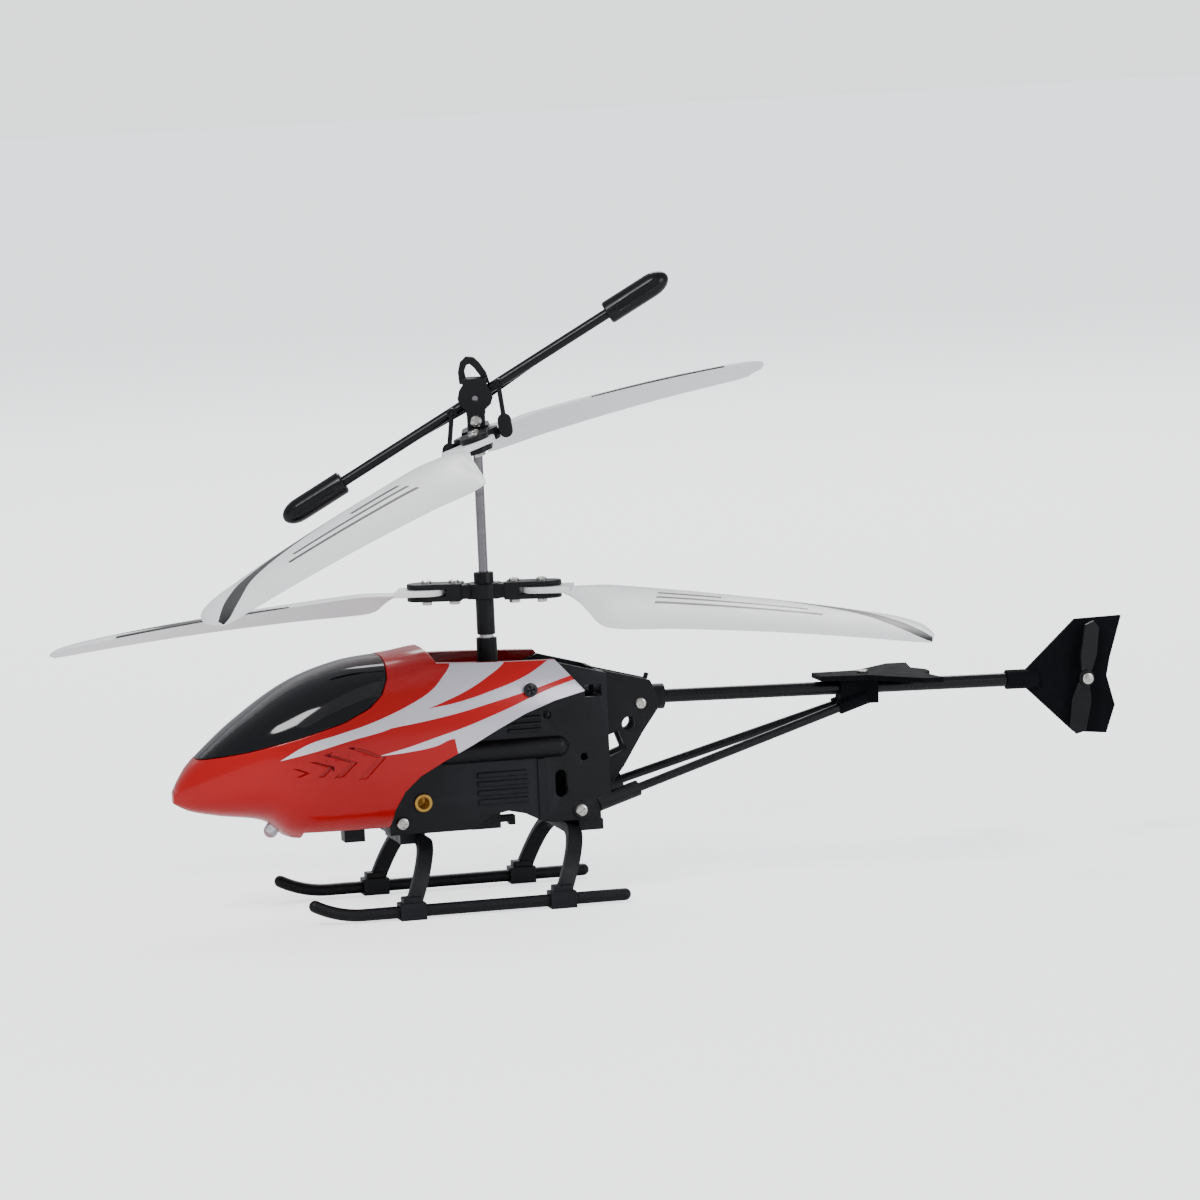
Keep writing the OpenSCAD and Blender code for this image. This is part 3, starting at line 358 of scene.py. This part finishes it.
finishes = {
    "red_shell": redShellFinish(),
    "dark_screen": tintedFinish(),
    "black_plastic": blackNylonFinish(),
    "blade_plastic": bladeFinish(),
    # ground steel: fine rings round the shaft, so highlights break into lines
    "shaft_steel": brushed("groundSteel", {"tones": ("#6f6c70", "#8f8b8f"), "stretch": (1, 1, 5), "lineMm": 3.5,
                                           "roughness": (0.22, 0.36)}),
    "tube_aluminium": brushed("drawnAluminium", {"tones": ("#b4b6ba", "#cfd0d3"), "stretch": (6, 6, 1), "lineMm": 2,
                                                 "roughness": (0.28, 0.42)}),
    "screw_nickel": brushed("nickelPlate", {"tones": ("#b9b7b2", "#d8d6d0"), "stretch": (1, 1, 1), "lineMm": 0.7,
                                            "roughness": (0.2, 0.34)}),
    # black oxide: a thin dark skin on steel, oily and even
    "screw_black": moulded("blackOxideSteel", {"tones": ("#16161a", "#222226"), "cloudMm": 1.2, "smearMm": 0.8,
                                               "roughness": (0.3, 0.42), "grainMm": 0.3, "bump": 0.08, "wear": 0.5,
                                               "worn": "#6b6a6c"}, {"Metallic": 0.7})[0],
    "motor_can": brushed("zincPlatedCan", {"tones": ("#a9abaf", "#c6c8cb"), "stretch": (1, 1, 6), "lineMm": 3,
                                           "roughness": (0.25, 0.4)}),
    "brass": brushed("turnedBrass", {"tones": ("#a9813c", "#c79f55"), "stretch": (1, 1, 1), "lineMm": 0.9,
                                     "roughness": (0.24, 0.4)}),
    # natural nylon: ivory, waxy, slightly uneven from the mould
    "gear_nylon": moulded("naturalNylon", {"tones": ("#dcd8cb", "#e9e6dc"), "cloudMm": 4, "smearMm": 2,
                                           "roughness": (0.35, 0.5), "grainMm": 0.3, "bump": 0.1, "wear": 0.1,
                                           "worn": "#f4f2ea"}, {"Subsurface Weight": 0.1})[0],
    # solder mask: glossy green lacquer over etched copper
    "board_green": moulded("solderMask", {"tones": ("#0d4a28", "#14603a"), "cloudMm": 2.5, "smearMm": 1.5,
                                          "roughness": (0.2, 0.35), "grainMm": 0.5, "bump": 0.1, "wear": 0.3,
                                          "worn": "#8f8a55"})[0],
    # aluminium-laminate pouch: dull silver with soft dents
    "cell_foil": moulded("pouchFoil", {"tones": ("#8d9095", "#a9acb0"), "cloudMm": 5, "smearMm": 3,
                                       "roughness": (0.3, 0.45), "grainMm": 2.0, "bump": 0.35, "wear": 0.2,
                                       "worn": "#cfd1d4"}, {"Metallic": 0.8})[0],
    "clear_lens": clearFinish(),
    # infrared-passing resin: very dark violet, glossy
    "receiver_black": moulded("infraredResin", {"tones": ("#14101a", "#1b1622"), "cloudMm": 2, "smearMm": 2,
                                                "roughness": (0.12, 0.2), "grainMm": 0.6, "bump": 0.04,
                                                "wear": 0.2, "worn": "#4a4356"})[0],
}
rodFinish = blackNylonFinish("carbonFilledRod", (0.24, 0.36), 0.9)
# the same nylon from an etched mould: dull even when light skims along it
etchedFinish = blackNylonFinish("etchedNylon", (0.7, 0.85), 0.45, 0.1)
print("materials made:", len(bpy.data.materials))


def placePiece(name, bm, like, replaced=(), material=None, angle=38):
    bm.transform(toRow)
    mesh = bpy.data.meshes.new(name)
    bm.to_mesh(mesh)
    bm.free()
    piece = bpy.data.objects.new(name, mesh)
    bpy.context.collection.objects.link(piece)
    mesh.materials.clear()
    mesh.materials.append(material or finishes[slotOf[like]])
    for polygon in mesh.polygons:
        polygon.use_smooth = True
        polygon.material_index = 0
    mesh.set_sharp_from_angle(angle=radians(angle))
    keepFlat = piece.modifiers.new("evenShade", "WEIGHTED_NORMAL")
    keepFlat.keep_sharp = True
    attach(piece, bodyOf[like])
    if replaced:
        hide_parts(*replaced)
    return piece


# Bevels every edge that turns by more than the given degrees
def bevelHard(bm, width, sharpest):
    hard = [e for e in bm.edges if len(e.link_faces) == 2 and e.calc_face_angle(0) > radians(sharpest)]
    bmesh.ops.bevel(bm, geom=hard, offset=width, offset_type="OFFSET", segments=2, profile=0.5,
                    affect="EDGES", material=-1, clamp_overlap=False)


# A copy of a CAD part, welded, with its hard edges rounded over
def softened(node, width, material=None):
    bm = bmesh.new()
    bm.from_mesh(frame["nodes"][node].data)
    bm.transform(fromRow)
    bmesh.ops.remove_doubles(bm, verts=bm.verts, dist=0.002)
    bmesh.ops.dissolve_degenerate(bm, edges=bm.edges, dist=0.002)
    if width:
        bevelHard(bm, width, 40)
    return placePiece(node + "_part", bm, node, (node,), material)


def smoothLine(at, table):
    i = 0
    while i < len(table) - 2 and at >= table[i + 1][0]:
        i += 1
    slope = lambda k: ((table[min(k + 1, len(table) - 1)][1] - table[max(k - 1, 0)][1])
                       / (table[min(k + 1, len(table) - 1)][0] - table[max(k - 1, 0)][0]))
    gap = table[i + 1][0] - table[i][0]
    u = (at - table[i][0]) / gap
    return (table[i][1] * (2 * u ** 3 - 3 * u ** 2 + 1) + slope(i) * gap * (u ** 3 - 2 * u ** 2 + u)
            + table[i + 1][1] * (3 * u ** 2 - 2 * u ** 3) + slope(i + 1) * gap * (u ** 3 - u ** 2))


# Joins a stack of equal rings into one closed skin
def loft(bm, rings):
    stack = []
    for ring in rings:
        circle = bmesh.ops.create_circle(bm, segments=len(ring), radius=1)["verts"]
        for vert, point in zip(circle, ring):
            vert.co = point
        stack.append(list({e for v in circle for e in v.link_edges}))
    for one, two in zip(stack, stack[1:]):
        bmesh.ops.bridge_loops(bm, edges=one + two)
    for end in (stack[0], stack[-1]):
        bmesh.ops.contextual_create(bm, geom=end)


# Draws flat faces out into a closed block
def drawOut(bm, faces, way):
    grown = bmesh.ops.extrude_face_region(bm, geom=faces)["geom"]
    bmesh.ops.translate(bm, verts=[g for g in grown if isinstance(g, bmesh.types.BMVert)], vec=way)
    bmesh.ops.recalc_face_normals(bm, faces=bm.faces)


# Outline drawn in side view (Y, Z), made a block between two distances along X
def sidePrism(outline, x0, x1):
    bm = bmesh.new()
    rim = [bm.verts.new((x0, y, z)) for y, z in outline]
    drawOut(bm, [bm.faces.new(rim)], (x1 - x0, 0, 0))
    return bm


def block(low, high):
    bm = bmesh.new()
    size = Vector(high) - Vector(low)
    middle = (Vector(high) + Vector(low)) / 2
    bmesh.ops.create_cube(bm, size=1, matrix=Matrix.Translation(middle) @ Matrix.Diagonal((*size, 1)))
    return bm


def drum(radius, start, end, segments=32):
    bm = bmesh.new()
    way = Vector(end) - Vector(start)
    turn = way.to_track_quat("Z", "Y").to_matrix().to_4x4()
    middle = (Vector(start) + Vector(end)) / 2
    bmesh.ops.create_cone(bm, cap_ends=True, segments=segments, radius1=radius, radius2=radius,
                          depth=way.length, matrix=Matrix.Translation(middle) @ turn)
    return bm


# Copies a finished mesh into another as often as there are places, then lets it go
def stamp(bm, part, places):
    scrap = bpy.data.meshes.new("scratch")
    part.to_mesh(scrap)
    part.free()
    for place in places:
        before = len(bm.verts)
        bm.from_mesh(scrap)
        bm.verts.ensure_lookup_table()
        bmesh.ops.transform(bm, matrix=place, verts=bm.verts[before:])
    bpy.data.meshes.remove(scrap)


def scratchObject(bm):
    mesh = bpy.data.meshes.new("scratch")
    bm.to_mesh(mesh)
    bm.free()
    obj = bpy.data.objects.new("scratch", mesh)
    bpy.context.collection.objects.link(obj)
    return obj


# Exact booleans in order, worked in millimetres; the tools are thrown away afterwards
def carve(bm, tools):
    base = scratchObject(bm)
    extra = []
    for operation, tool in tools:
        cutter = scratchObject(tool)
        extra.append(cutter)
        step = base.modifiers.new("cut", "BOOLEAN")
        step.operation = operation
        step.solver = "EXACT"
        step.object = cutter
    bpy.context.view_layer.update()
    result = bmesh.new()
    result.from_object(base, bpy.context.evaluated_depsgraph_get())
    for obj in [base] + extra:
        mesh = obj.data
        bpy.data.objects.remove(obj)
        bpy.data.meshes.remove(mesh)
    return result


def roundEdges(bm, width, sharpest=45):
    bmesh.ops.remove_doubles(bm, verts=bm.verts, dist=0.02)
    bmesh.ops.dissolve_degenerate(bm, edges=bm.edges, dist=0.02)
    bevelHard(bm, width, sharpest)


canopySpec = {
    "length": 86.5, "halfWidth": 17.5, "wall": 1.1, "power": 2.6, "points": 96, "step": 1.5,
    "top": [(-69, 28), (-66, 32.6), (-62, 36.4), (-55, 42), (-43.5, 49.2), (-32, 53), (-21, 54.2), (-15.6, 55),
            (0, 56), (20, 54)],
    "bottom": [(-69, 25.5), (-66, 23.8), (-60, 22.4), (-50, 20.6), (-46, 17.2), (-42, 16.4), (-25, 16.2),
               (20, 16.2)],
    "width": [(-69, 0.06), (-66, 0.27), (-60, 0.49), (-50, 0.74), (-38, 0.93), (-25, 1), (-10, 1), (5, 0.94),
              (20, 0.83)],
    "lowerRear": [(-24.9, 10), (-24.9, 18), (-24.3, 22.5), (-22.4, 26.4), (-19, 29.6), (-14, 32.3), (-8.3, 35),
                  (-2, 38.2), (4.1, 41), (10.6, 43.1), (17.8, 44.6), (30, 46), (30, 10)],
    "rear": [(17.8, 44), (17.8, 44.6), (12.2, 51.2), (11, 62), (30, 62), (30, 44)],
    "screen": [(-63.6, 34.6), (-54, 36.4), (-44, 38.9), (-35, 41.6), (-29, 44.4), (-26, 47), (-24.4, 50),
               (-23.6, 54), (-23.4, 60), (-70, 60), (-70, 34.6)],
    "seam": 0.18, "hollowFrom": -66.4, "hollowTo": 21,
    "roof": [(-13.4, 52.4), (-15.4, 56), (-15.4, 62), (20, 62), (20, 51)],
    "roofStep": ((-20, 50), (-15.5, 56)), "belly": ((-13.5, -43, 10), (13.5, -20, 18.4)),
    "lamp": {"foot": (0, -46.2, 21), "turn": 143, "radius": 1.9, "behind": 2, "ahead": 6},
    "pegHole": {"radius": 1, "y": 5.5, "z": 45.9, "from": 11, "to": 20},
    "vents": [((-33.5, 36.5), (-27.9, 34.1), (-32.2, 29.9), 1.7),
              ((-38.5, 35.2), (-33.6, 33.5), (-36.9, 30.6), 1.4),
              ((-41.9, 34), (-38.4, 32.8), (-40.5, 30.8), 1.1),
              ((-45.4, 32.7), (-42.9, 31.8), (-44.9, 31), 0.7)],
    "ventDepth": 0.55, "paneInset": 0.08,
}
noseY = 17.6 - canopySpec["length"]


def canopyRing(y, inset):
    spec = canopySpec
    top = smoothLine(y, spec["top"]) - inset
    bottom = smoothLine(y, spec["bottom"]) + inset
    wide = spec["halfWidth"] * smoothLine(y, spec["width"]) - inset
    power = 2 / spec["power"]
    bend = lambda v: copysign(abs(v) ** power, v)
    turns = [2 * pi * k / spec["points"] for k in range(spec["points"])]
    middle, half = (top + bottom) / 2, (top - bottom) / 2
    return [Vector((wide * bend(cos(a)), y, middle + half * bend(sin(a)))) for a in turns]


def canopySkin(start, end, inset):
    bm = bmesh.new()
    count = round((end - start) / canopySpec["step"])
    loft(bm, [canopyRing(start + (end - start) * k / count, inset) for k in range(count + 1)])
    bmesh.ops.recalc_face_normals(bm, faces=bm.faces)
    return bm


# A tapering arrow on the canopy side, standing on the local surface so its floor is even
def ventTool(top, apex, low, band, side):
    bm = bmesh.new()
    corners = [top, (top[0] + band, top[1]), (apex[0] + band * 0.9, apex[1]), (low[0] + band, low[1]), low,
               apex]
    rim = []
    for y, z in corners:
        x = canopySpec["halfWidth"] * smoothLine(y, canopySpec["width"]) - canopySpec["ventDepth"]
        rim.append(bm.verts.new((side * x, y, z)))
    halves = [bm.faces.new((rim[0], rim[1], rim[2], rim[5])), bm.faces.new((rim[5], rim[2], rim[3], rim[4]))]
    drawOut(bm, halves, (side * 4, 0, 0))
    return bm


def makeCanopy():
    spec = canopySpec
    far = spec["halfWidth"] + 3
    (stepY0, stepZ0), (stepY1, stepZ1) = spec["roofStep"]
    step = block((-far - 2, stepY0, stepZ0), (far + 2, stepY1, stepZ1))
    openTop = carve(sidePrism(spec["roof"], -far, far), [("DIFFERENCE", step)])
    lamp = spec["lamp"]
    away = Vector((0, -sin(radians(lamp["turn"])), cos(radians(lamp["turn"]))))
    lampFoot = Vector(lamp["foot"])
    cutters = [canopySkin(spec["hollowFrom"], spec["hollowTo"], spec["wall"])]
    cutters += [sidePrism(spec[outline], -far, far) for outline in ("screen", "lowerRear", "rear")]
    cutters += [openTop, block(*spec["belly"]),
                drum(lamp["radius"], lampFoot - away * lamp["behind"], lampFoot + away * lamp["ahead"])]
    peg = spec["pegHole"]
    for near, off in ((-peg["to"], -peg["from"]), (peg["from"], peg["to"])):
        cutters.append(drum(peg["radius"], (near, peg["y"], peg["z"]), (off, peg["y"], peg["z"])))
    for top, apex, low, band in spec["vents"]:
        cutters += [ventTool(top, apex, low, band, side) for side in (-1, 1)]
    shell = carve(canopySkin(noseY, 20, 0), [("DIFFERENCE", cutter) for cutter in cutters])
    roundEdges(shell, 0.14, 50)
    return placePiece("canopy_shell", shell, "canopy", ("canopy",), angle=34)


def makeScreen():
    spec = canopySpec
    far = spec["halfWidth"] + 3
    gap = spec["seam"]
    outline = [(y - (gap if i > 3 and y > -30 else 0), z + (gap if i < 6 else 0))
               for i, (y, z) in enumerate(spec["screen"])]
    pane = carve(canopySkin(noseY, 0, spec["paneInset"]), [
        ("DIFFERENCE", canopySkin(spec["hollowFrom"], 1, spec["wall"])),
        ("INTERSECT", sidePrism(outline, -far, far)),
    ])
    roundEdges(pane, 0.12, 50)
    return placePiece("windscreen_pane", pane, "windscreen", ("windscreen",), angle=34)


makeCanopy()
makeScreen()
print("canopy and windscreen made")


bladeSpec = {
    "pin": 12.3, "length": 83.2, "thick": 0.8, "camber": 0.07, "pitch": 15, "chord": 24.5 / 24.2, "points": 13,
    "lead": [(5, 3.5), (12, 4.1), (20, 4.2), (70, 3.6), (77, 2.2), (81, -1), (83.2, -6)],
    "trail": [(5, 3.5), (9, 9), (11, 12.6), (16, 20), (30, 18.4), (50, 15.6), (70, 13), (80, 11.6),
              (83.2, 10.4)],
    "first": 5, "last": 82.9, "steps": 60, "twist": 0.3, "droop": (0.08, 0.0006), "edgeShare": 0.35,
    "tang": {"thick": 1.3, "radius": 4.1, "length": 6.4, "hole": 0.65, "soft": 0.1},
}


def bladeRing(s):
    spec = bladeSpec
    lead = smoothLine(s, spec["lead"])
    trail = -smoothLine(s, spec["trail"]) * spec["chord"]
    chord = lead - trail
    grow = min(1, (s - 3) / 10)
    tilt = radians(spec["pitch"] * (1 - spec["twist"] * s / spec["length"]) * grow)
    straight, curl = spec["droop"]
    drop = -straight * s - curl * s * s
    n = spec["points"]
    upper = [(1 - k / n, 1) for k in range(n + 1)]
    lower = [(k / n, -1) for k in range(n + 1)]
    ring = []
    for v, side in upper + lower:
        arc = 4 * v * (1 - v) * spec["camber"] * chord * grow
        thin = spec["edgeShare"]
        wall = spec["thick"] * (thin + (1 - thin) * max(0, 4 * v * (1 - v)) ** 0.5)
        y, z = lead - chord * v, arc + side * wall / 2
        ring.append((Vector((s, y * cos(tilt) - z * sin(tilt), drop + y * sin(tilt) + z * cos(tilt))), v, side))
    return ring


def makeBlade(node, place, mirrored):
    bm = bmesh.new()
    first, last, steps = (bladeSpec[key] for key in ("first", "last", "steps"))
    rings = [bladeRing(first + (last - first) * k / steps) for k in range(steps + 1)]
    loft(bm, [[p for p, v, side in ring] for ring in rings])
    bmesh.ops.remove_doubles(bm, verts=bm.verts, dist=0.001)
    bmesh.ops.recalc_face_normals(bm, faces=bm.faces)
    chart = bm.loops.layers.uv.new("bladeMap")
    for face in bm.faces:
        upward = face.normal.z > 0
        for corner in face.loops:
            s = corner.vert.co.x
            lead = smoothLine(s, bladeSpec["lead"])
            chord = lead + smoothLine(s, bladeSpec["trail"]) * bladeSpec["chord"]
            corner[chart].uv = (s / bladeSpec["length"], (lead - corner.vert.co.y) / chord if upward else -3)
    # flat root that sits in the grip, with its pin hole
    spec = bladeSpec["tang"]
    wide, far = spec["radius"], spec["length"]
    tang = bmesh.new()
    rim = [(wide * cos(radians(a)), wide * sin(radians(a))) for a in range(90, 271, 10)]
    rim += [(far, -wide), (far, wide)]
    base = tang.faces.new([tang.verts.new((x, y, -spec["thick"] / 2)) for x, y in rim])
    drawOut(tang, [base], (0, 0, spec["thick"]))
    root = carve(tang, [("DIFFERENCE", drum(spec["hole"], (0, 0, -3), (0, 0, 3)))])
    roundEdges(root, spec["soft"])
    rootChart = root.loops.layers.uv.new("bladeMap")
    for face in root.faces:
        for corner in face.loops:
            corner[rootChart].uv = (0, -3)
    stamp(bm, root, [Matrix.Identity(4)])
    bm.transform(place)
    if mirrored:
        bmesh.ops.reverse_faces(bm, faces=bm.faces)
    return placePiece(node + "_print", bm, node, (node,), angle=40)


rotorSpec = {"lowerZ": 65.8, "upperZ": 98.0, "lowerTurn": 20, "holderTurn": -13, "holderTilt": 17, "swing": 51}
turnZ = lambda degrees: Matrix.Rotation(radians(degrees), 4, "Z")
lowerFrame = Matrix.Translation((0, 0, rotorSpec["lowerZ"])) @ turnZ(90 - rotorSpec["lowerTurn"])
headFrame = turnZ(rotorSpec["holderTurn"])
holderFrame = (headFrame @ Matrix.Translation((0, 0, rotorSpec["upperZ"]))
               @ Matrix.Rotation(radians(rotorSpec["holderTilt"]), 4, "X"))
atPin = Matrix.Translation((bladeSpec["pin"], 0, 0))
flip = Matrix.Diagonal((1, -1, 1, 1))
swung = turnZ(-rotorSpec["swing"])
makeBlade("lower_blade_a", lowerFrame @ atPin, False)
makeBlade("lower_blade_b", lowerFrame @ turnZ(180) @ atPin, False)
makeBlade("upper_blade_a", holderFrame @ atPin @ swung @ flip, True)
makeBlade("upper_blade_b", holderFrame @ turnZ(180) @ atPin @ swung @ flip, True)
print("blades made")


# Domed head with a cross recess, standing on z = 0 with its shank below
def crossHead(radius, tall, shank, shankRadius, nut=None):
    bm = bmesh.new()
    profile = [(radius, 0), (radius, tall * 0.45), (radius * 0.86, tall * 0.8), (radius * 0.5, tall), (0, tall)]
    verts = [bm.verts.new((0, 0, 0))] + [bm.verts.new((r, 0, z)) for r, z in profile]
    edges = [bm.edges.new(pair) for pair in zip(verts, verts[1:])]
    bmesh.ops.spin(bm, geom=verts + edges, cent=(0, 0, 0), axis=(0, 0, 1), angle=2 * pi, steps=32,
                   use_merge=True)
    bmesh.ops.remove_doubles(bm, verts=bm.verts, dist=0.001)
    bmesh.ops.recalc_face_normals(bm, faces=bm.faces)
    arm, half = radius * 0.62, radius * 0.13
    tools = [("DIFFERENCE", block((-arm, -half, tall * 0.35), (arm, half, tall * 2))),
             ("DIFFERENCE", block((-half, -arm, tall * 0.35), (half, arm, tall * 2)))]
    tools.append(("UNION", drum(shankRadius, (0, 0, -shank), (0, 0, 0.05), 24)))
    head = carve(bm, tools)
    if nut:
        low, nutTall, nutRadius = nut
        hexagon = drum(nutRadius, (0, 0, low), (0, 0, low + nutTall), 6)
        roundEdges(hexagon, 0.1, 30)
        stamp(head, hexagon, [Matrix.Identity(4)])
    return head


def placeScrews(name, node, template, places, replaced=True):
    bm = bmesh.new()
    stamp(bm, template, places)
    bmesh.ops.recalc_face_normals(bm, faces=bm.faces)
    placePiece(name, bm, node, (node,) if replaced else (), angle=30)


screwSpecs = {
    "pivot": {"radius": 1.15, "tall": 0.7, "shank": 4.55, "shankRadius": 0.6, "nut": (-4.6, 0.9, 1.2)},
    "frame": {"radius": 1.3, "tall": 0.7, "shank": 2.5, "shankRadius": 0.6},
    "socket": {"radius": 1.2, "tall": 0.6, "shank": 1.7, "shankRadius": 0.6},
    "canopy": {"radius": 1.5, "tall": 0.7, "shank": 4.8, "shankRadius": 0.7},
    "head": {"radius": 1.25, "tall": 0.7, "shank": 1.8, "shankRadius": 0.7},
}
gripTop = 1.85
gripPins = (6.4, bladeSpec["pin"])
gripPlaces = [Matrix.Translation((s * d, 0, gripTop)) @ turnZ(25 * d) for s in (-1, 1) for d in gripPins]
for node, base in (("lower_screws", lowerFrame), ("holder_screws", holderFrame)):
    placeScrews(node + "_set", node, crossHead(**screwSpecs["pivot"]), [base @ p for p in gripPlaces])


def outward(x, y, z, side, spin=0):
    return Matrix.Translation((side * x, y, z)) @ Matrix.Rotation(side * pi / 2, 4, "Y") @ turnZ(spin)


# seats of the other screws: distance out, place along Y, height, and the turn of the recess
seats = {"legs": (9.9, (-21.9, 16.7), 18.9, 20), "socket": (3.6, 32, 39.8, 35), "canopy": (15.8, 5.5, 45.9, 12),
         "head": (2.5, 0, 101.9, 40)}
x, ends, z, spin = seats["legs"]
placeScrews("frame_screws_set", "frame_screws", crossHead(**screwSpecs["frame"]),
            [outward(x, y, z, side, spin + y) for side in (-1, 1) for y in ends])
x, y, z, spin = seats["socket"]
placeScrews("socket_screws_set", "frame_screws", crossHead(**screwSpecs["socket"]),
            [outward(x, y, z, side, spin) for side in (-1, 1)], replaced=False)
x, y, z, spin = seats["canopy"]
placeScrews("canopy_screws_set", "canopy_screws", crossHead(**screwSpecs["canopy"]),
            [outward(x, y, z, side, spin) for side in (-1, 1)])
x, y, z, spin = seats["head"]
placeScrews("head_screw_set", "head_screw", crossHead(**screwSpecs["head"]),
            [headFrame @ outward(x, y, z, 1, spin)])
print("screws made")

edgeWidths = {
    "canopy_pegs": 0.12, "frame_left": 0.14, "frame_right": 0.14, "top_block": 0.15, "motor_plate": 0.12,
    "bottom_block": 0.1, "boom_socket": 0.15, "belly_plate": 0.15, "lamp_holder": 0.1, "nose_lamp": 0.0,
    "battery": 0.3, "circuit_board": 0.08, "receiver": 0.05, "charge_socket": 0.08, "switch_case": 0.12,
    "switch_slider": 0.15, "front_motor": 0.15, "rear_motor": 0.15, "front_pinion": 0.0, "rear_pinion": 0.0,
    "mast_bushing": 0.12, "outer_shaft": 0.0, "outer_gear": 0.0, "lower_hub": 0.16, "inner_shaft": 0.08,
    "inner_gear": 0.0, "rotor_head": 0.14, "holder_pin": 0.08, "bar_pin": 0.0, "blade_holder": 0.14,
    "bar_rod": 0.1, "bar_weight_a": 0.12, "bar_weight_b": 0.12, "link_a": 0.08, "link_b": 0.08, "tail_boom": 0.1,
    "boom_clamp": 0.18, "tailplane": 0.14, "tailplane_screw": 0.1, "strut_left": 0.1, "strut_right": 0.1,
    "fin": 0.14, "prop_pin": 0.1, "tail_prop": 0.1, "front_bow": 0.18, "rear_bow": 0.18, "skid_left": 0.1,
    "skid_right": 0.1,
}
glossyRods = ("bar_rod", "bar_weight_a", "bar_weight_b", "tail_boom", "strut_left", "strut_right")
etchedParts = ("tailplane", "boom_clamp", "fin")
ownFinish = {node: rodFinish for node in glossyRods} | {node: etchedFinish for node in etchedParts}
for node, width in edgeWidths.items():
    softened(node, width, ownFinish.get(node))
print("rounded CAD parts:", len(edgeWidths))


floorSpec = {"halfSize": 4, "lift": 1.5, "fibreScale": 400.0, "tones": ("#f2f3f5", "#f7f8f9"),
             "glow": "#f4f6f9"}


def makeFloor(spec):
    bm = bmesh.new()
    bmesh.ops.create_grid(bm, x_segments=1, y_segments=1, size=spec["halfSize"])
    mesh = bpy.data.meshes.new("floor")
    bm.to_mesh(mesh)
    bm.free()
    floor = bpy.data.objects.new("floor", mesh)
    bpy.context.collection.objects.link(floor)
    material, tree, shader, place = startMaterial("paperSweep", {
        "Roughness": 0.85, "Specular IOR Level": 0.2, "Emission Color": linear(spec["glow"])})
    # a lift that only the eye sees, so the paper reads white without lighting the toy from below
    ray = addNode(tree, "ShaderNodeLightPath")
    lift = addNode(tree, "ShaderNodeMath", {"operation": "MULTIPLY", 1: spec["lift"]},
                   {0: ray.outputs["Is Camera Ray"]})
    tree.links.new(lift.outputs[0], shader.inputs["Emission Strength"])
    fibre = addNode(tree, "ShaderNodeTexNoise", {"Scale": spec["fibreScale"], "Detail": 3}, {"Vector": place})
    tone = addNode(tree, "ShaderNodeMix", {"data_type": "RGBA", 6: linear(spec["tones"][0]),
                                           7: linear(spec["tones"][1])}, {0: fibre.outputs["Fac"]})
    tree.links.new(tone.outputs[2], shader.inputs["Base Color"])
    mesh.materials.append(material)


makeFloor(floorSpec)
print("floor made")
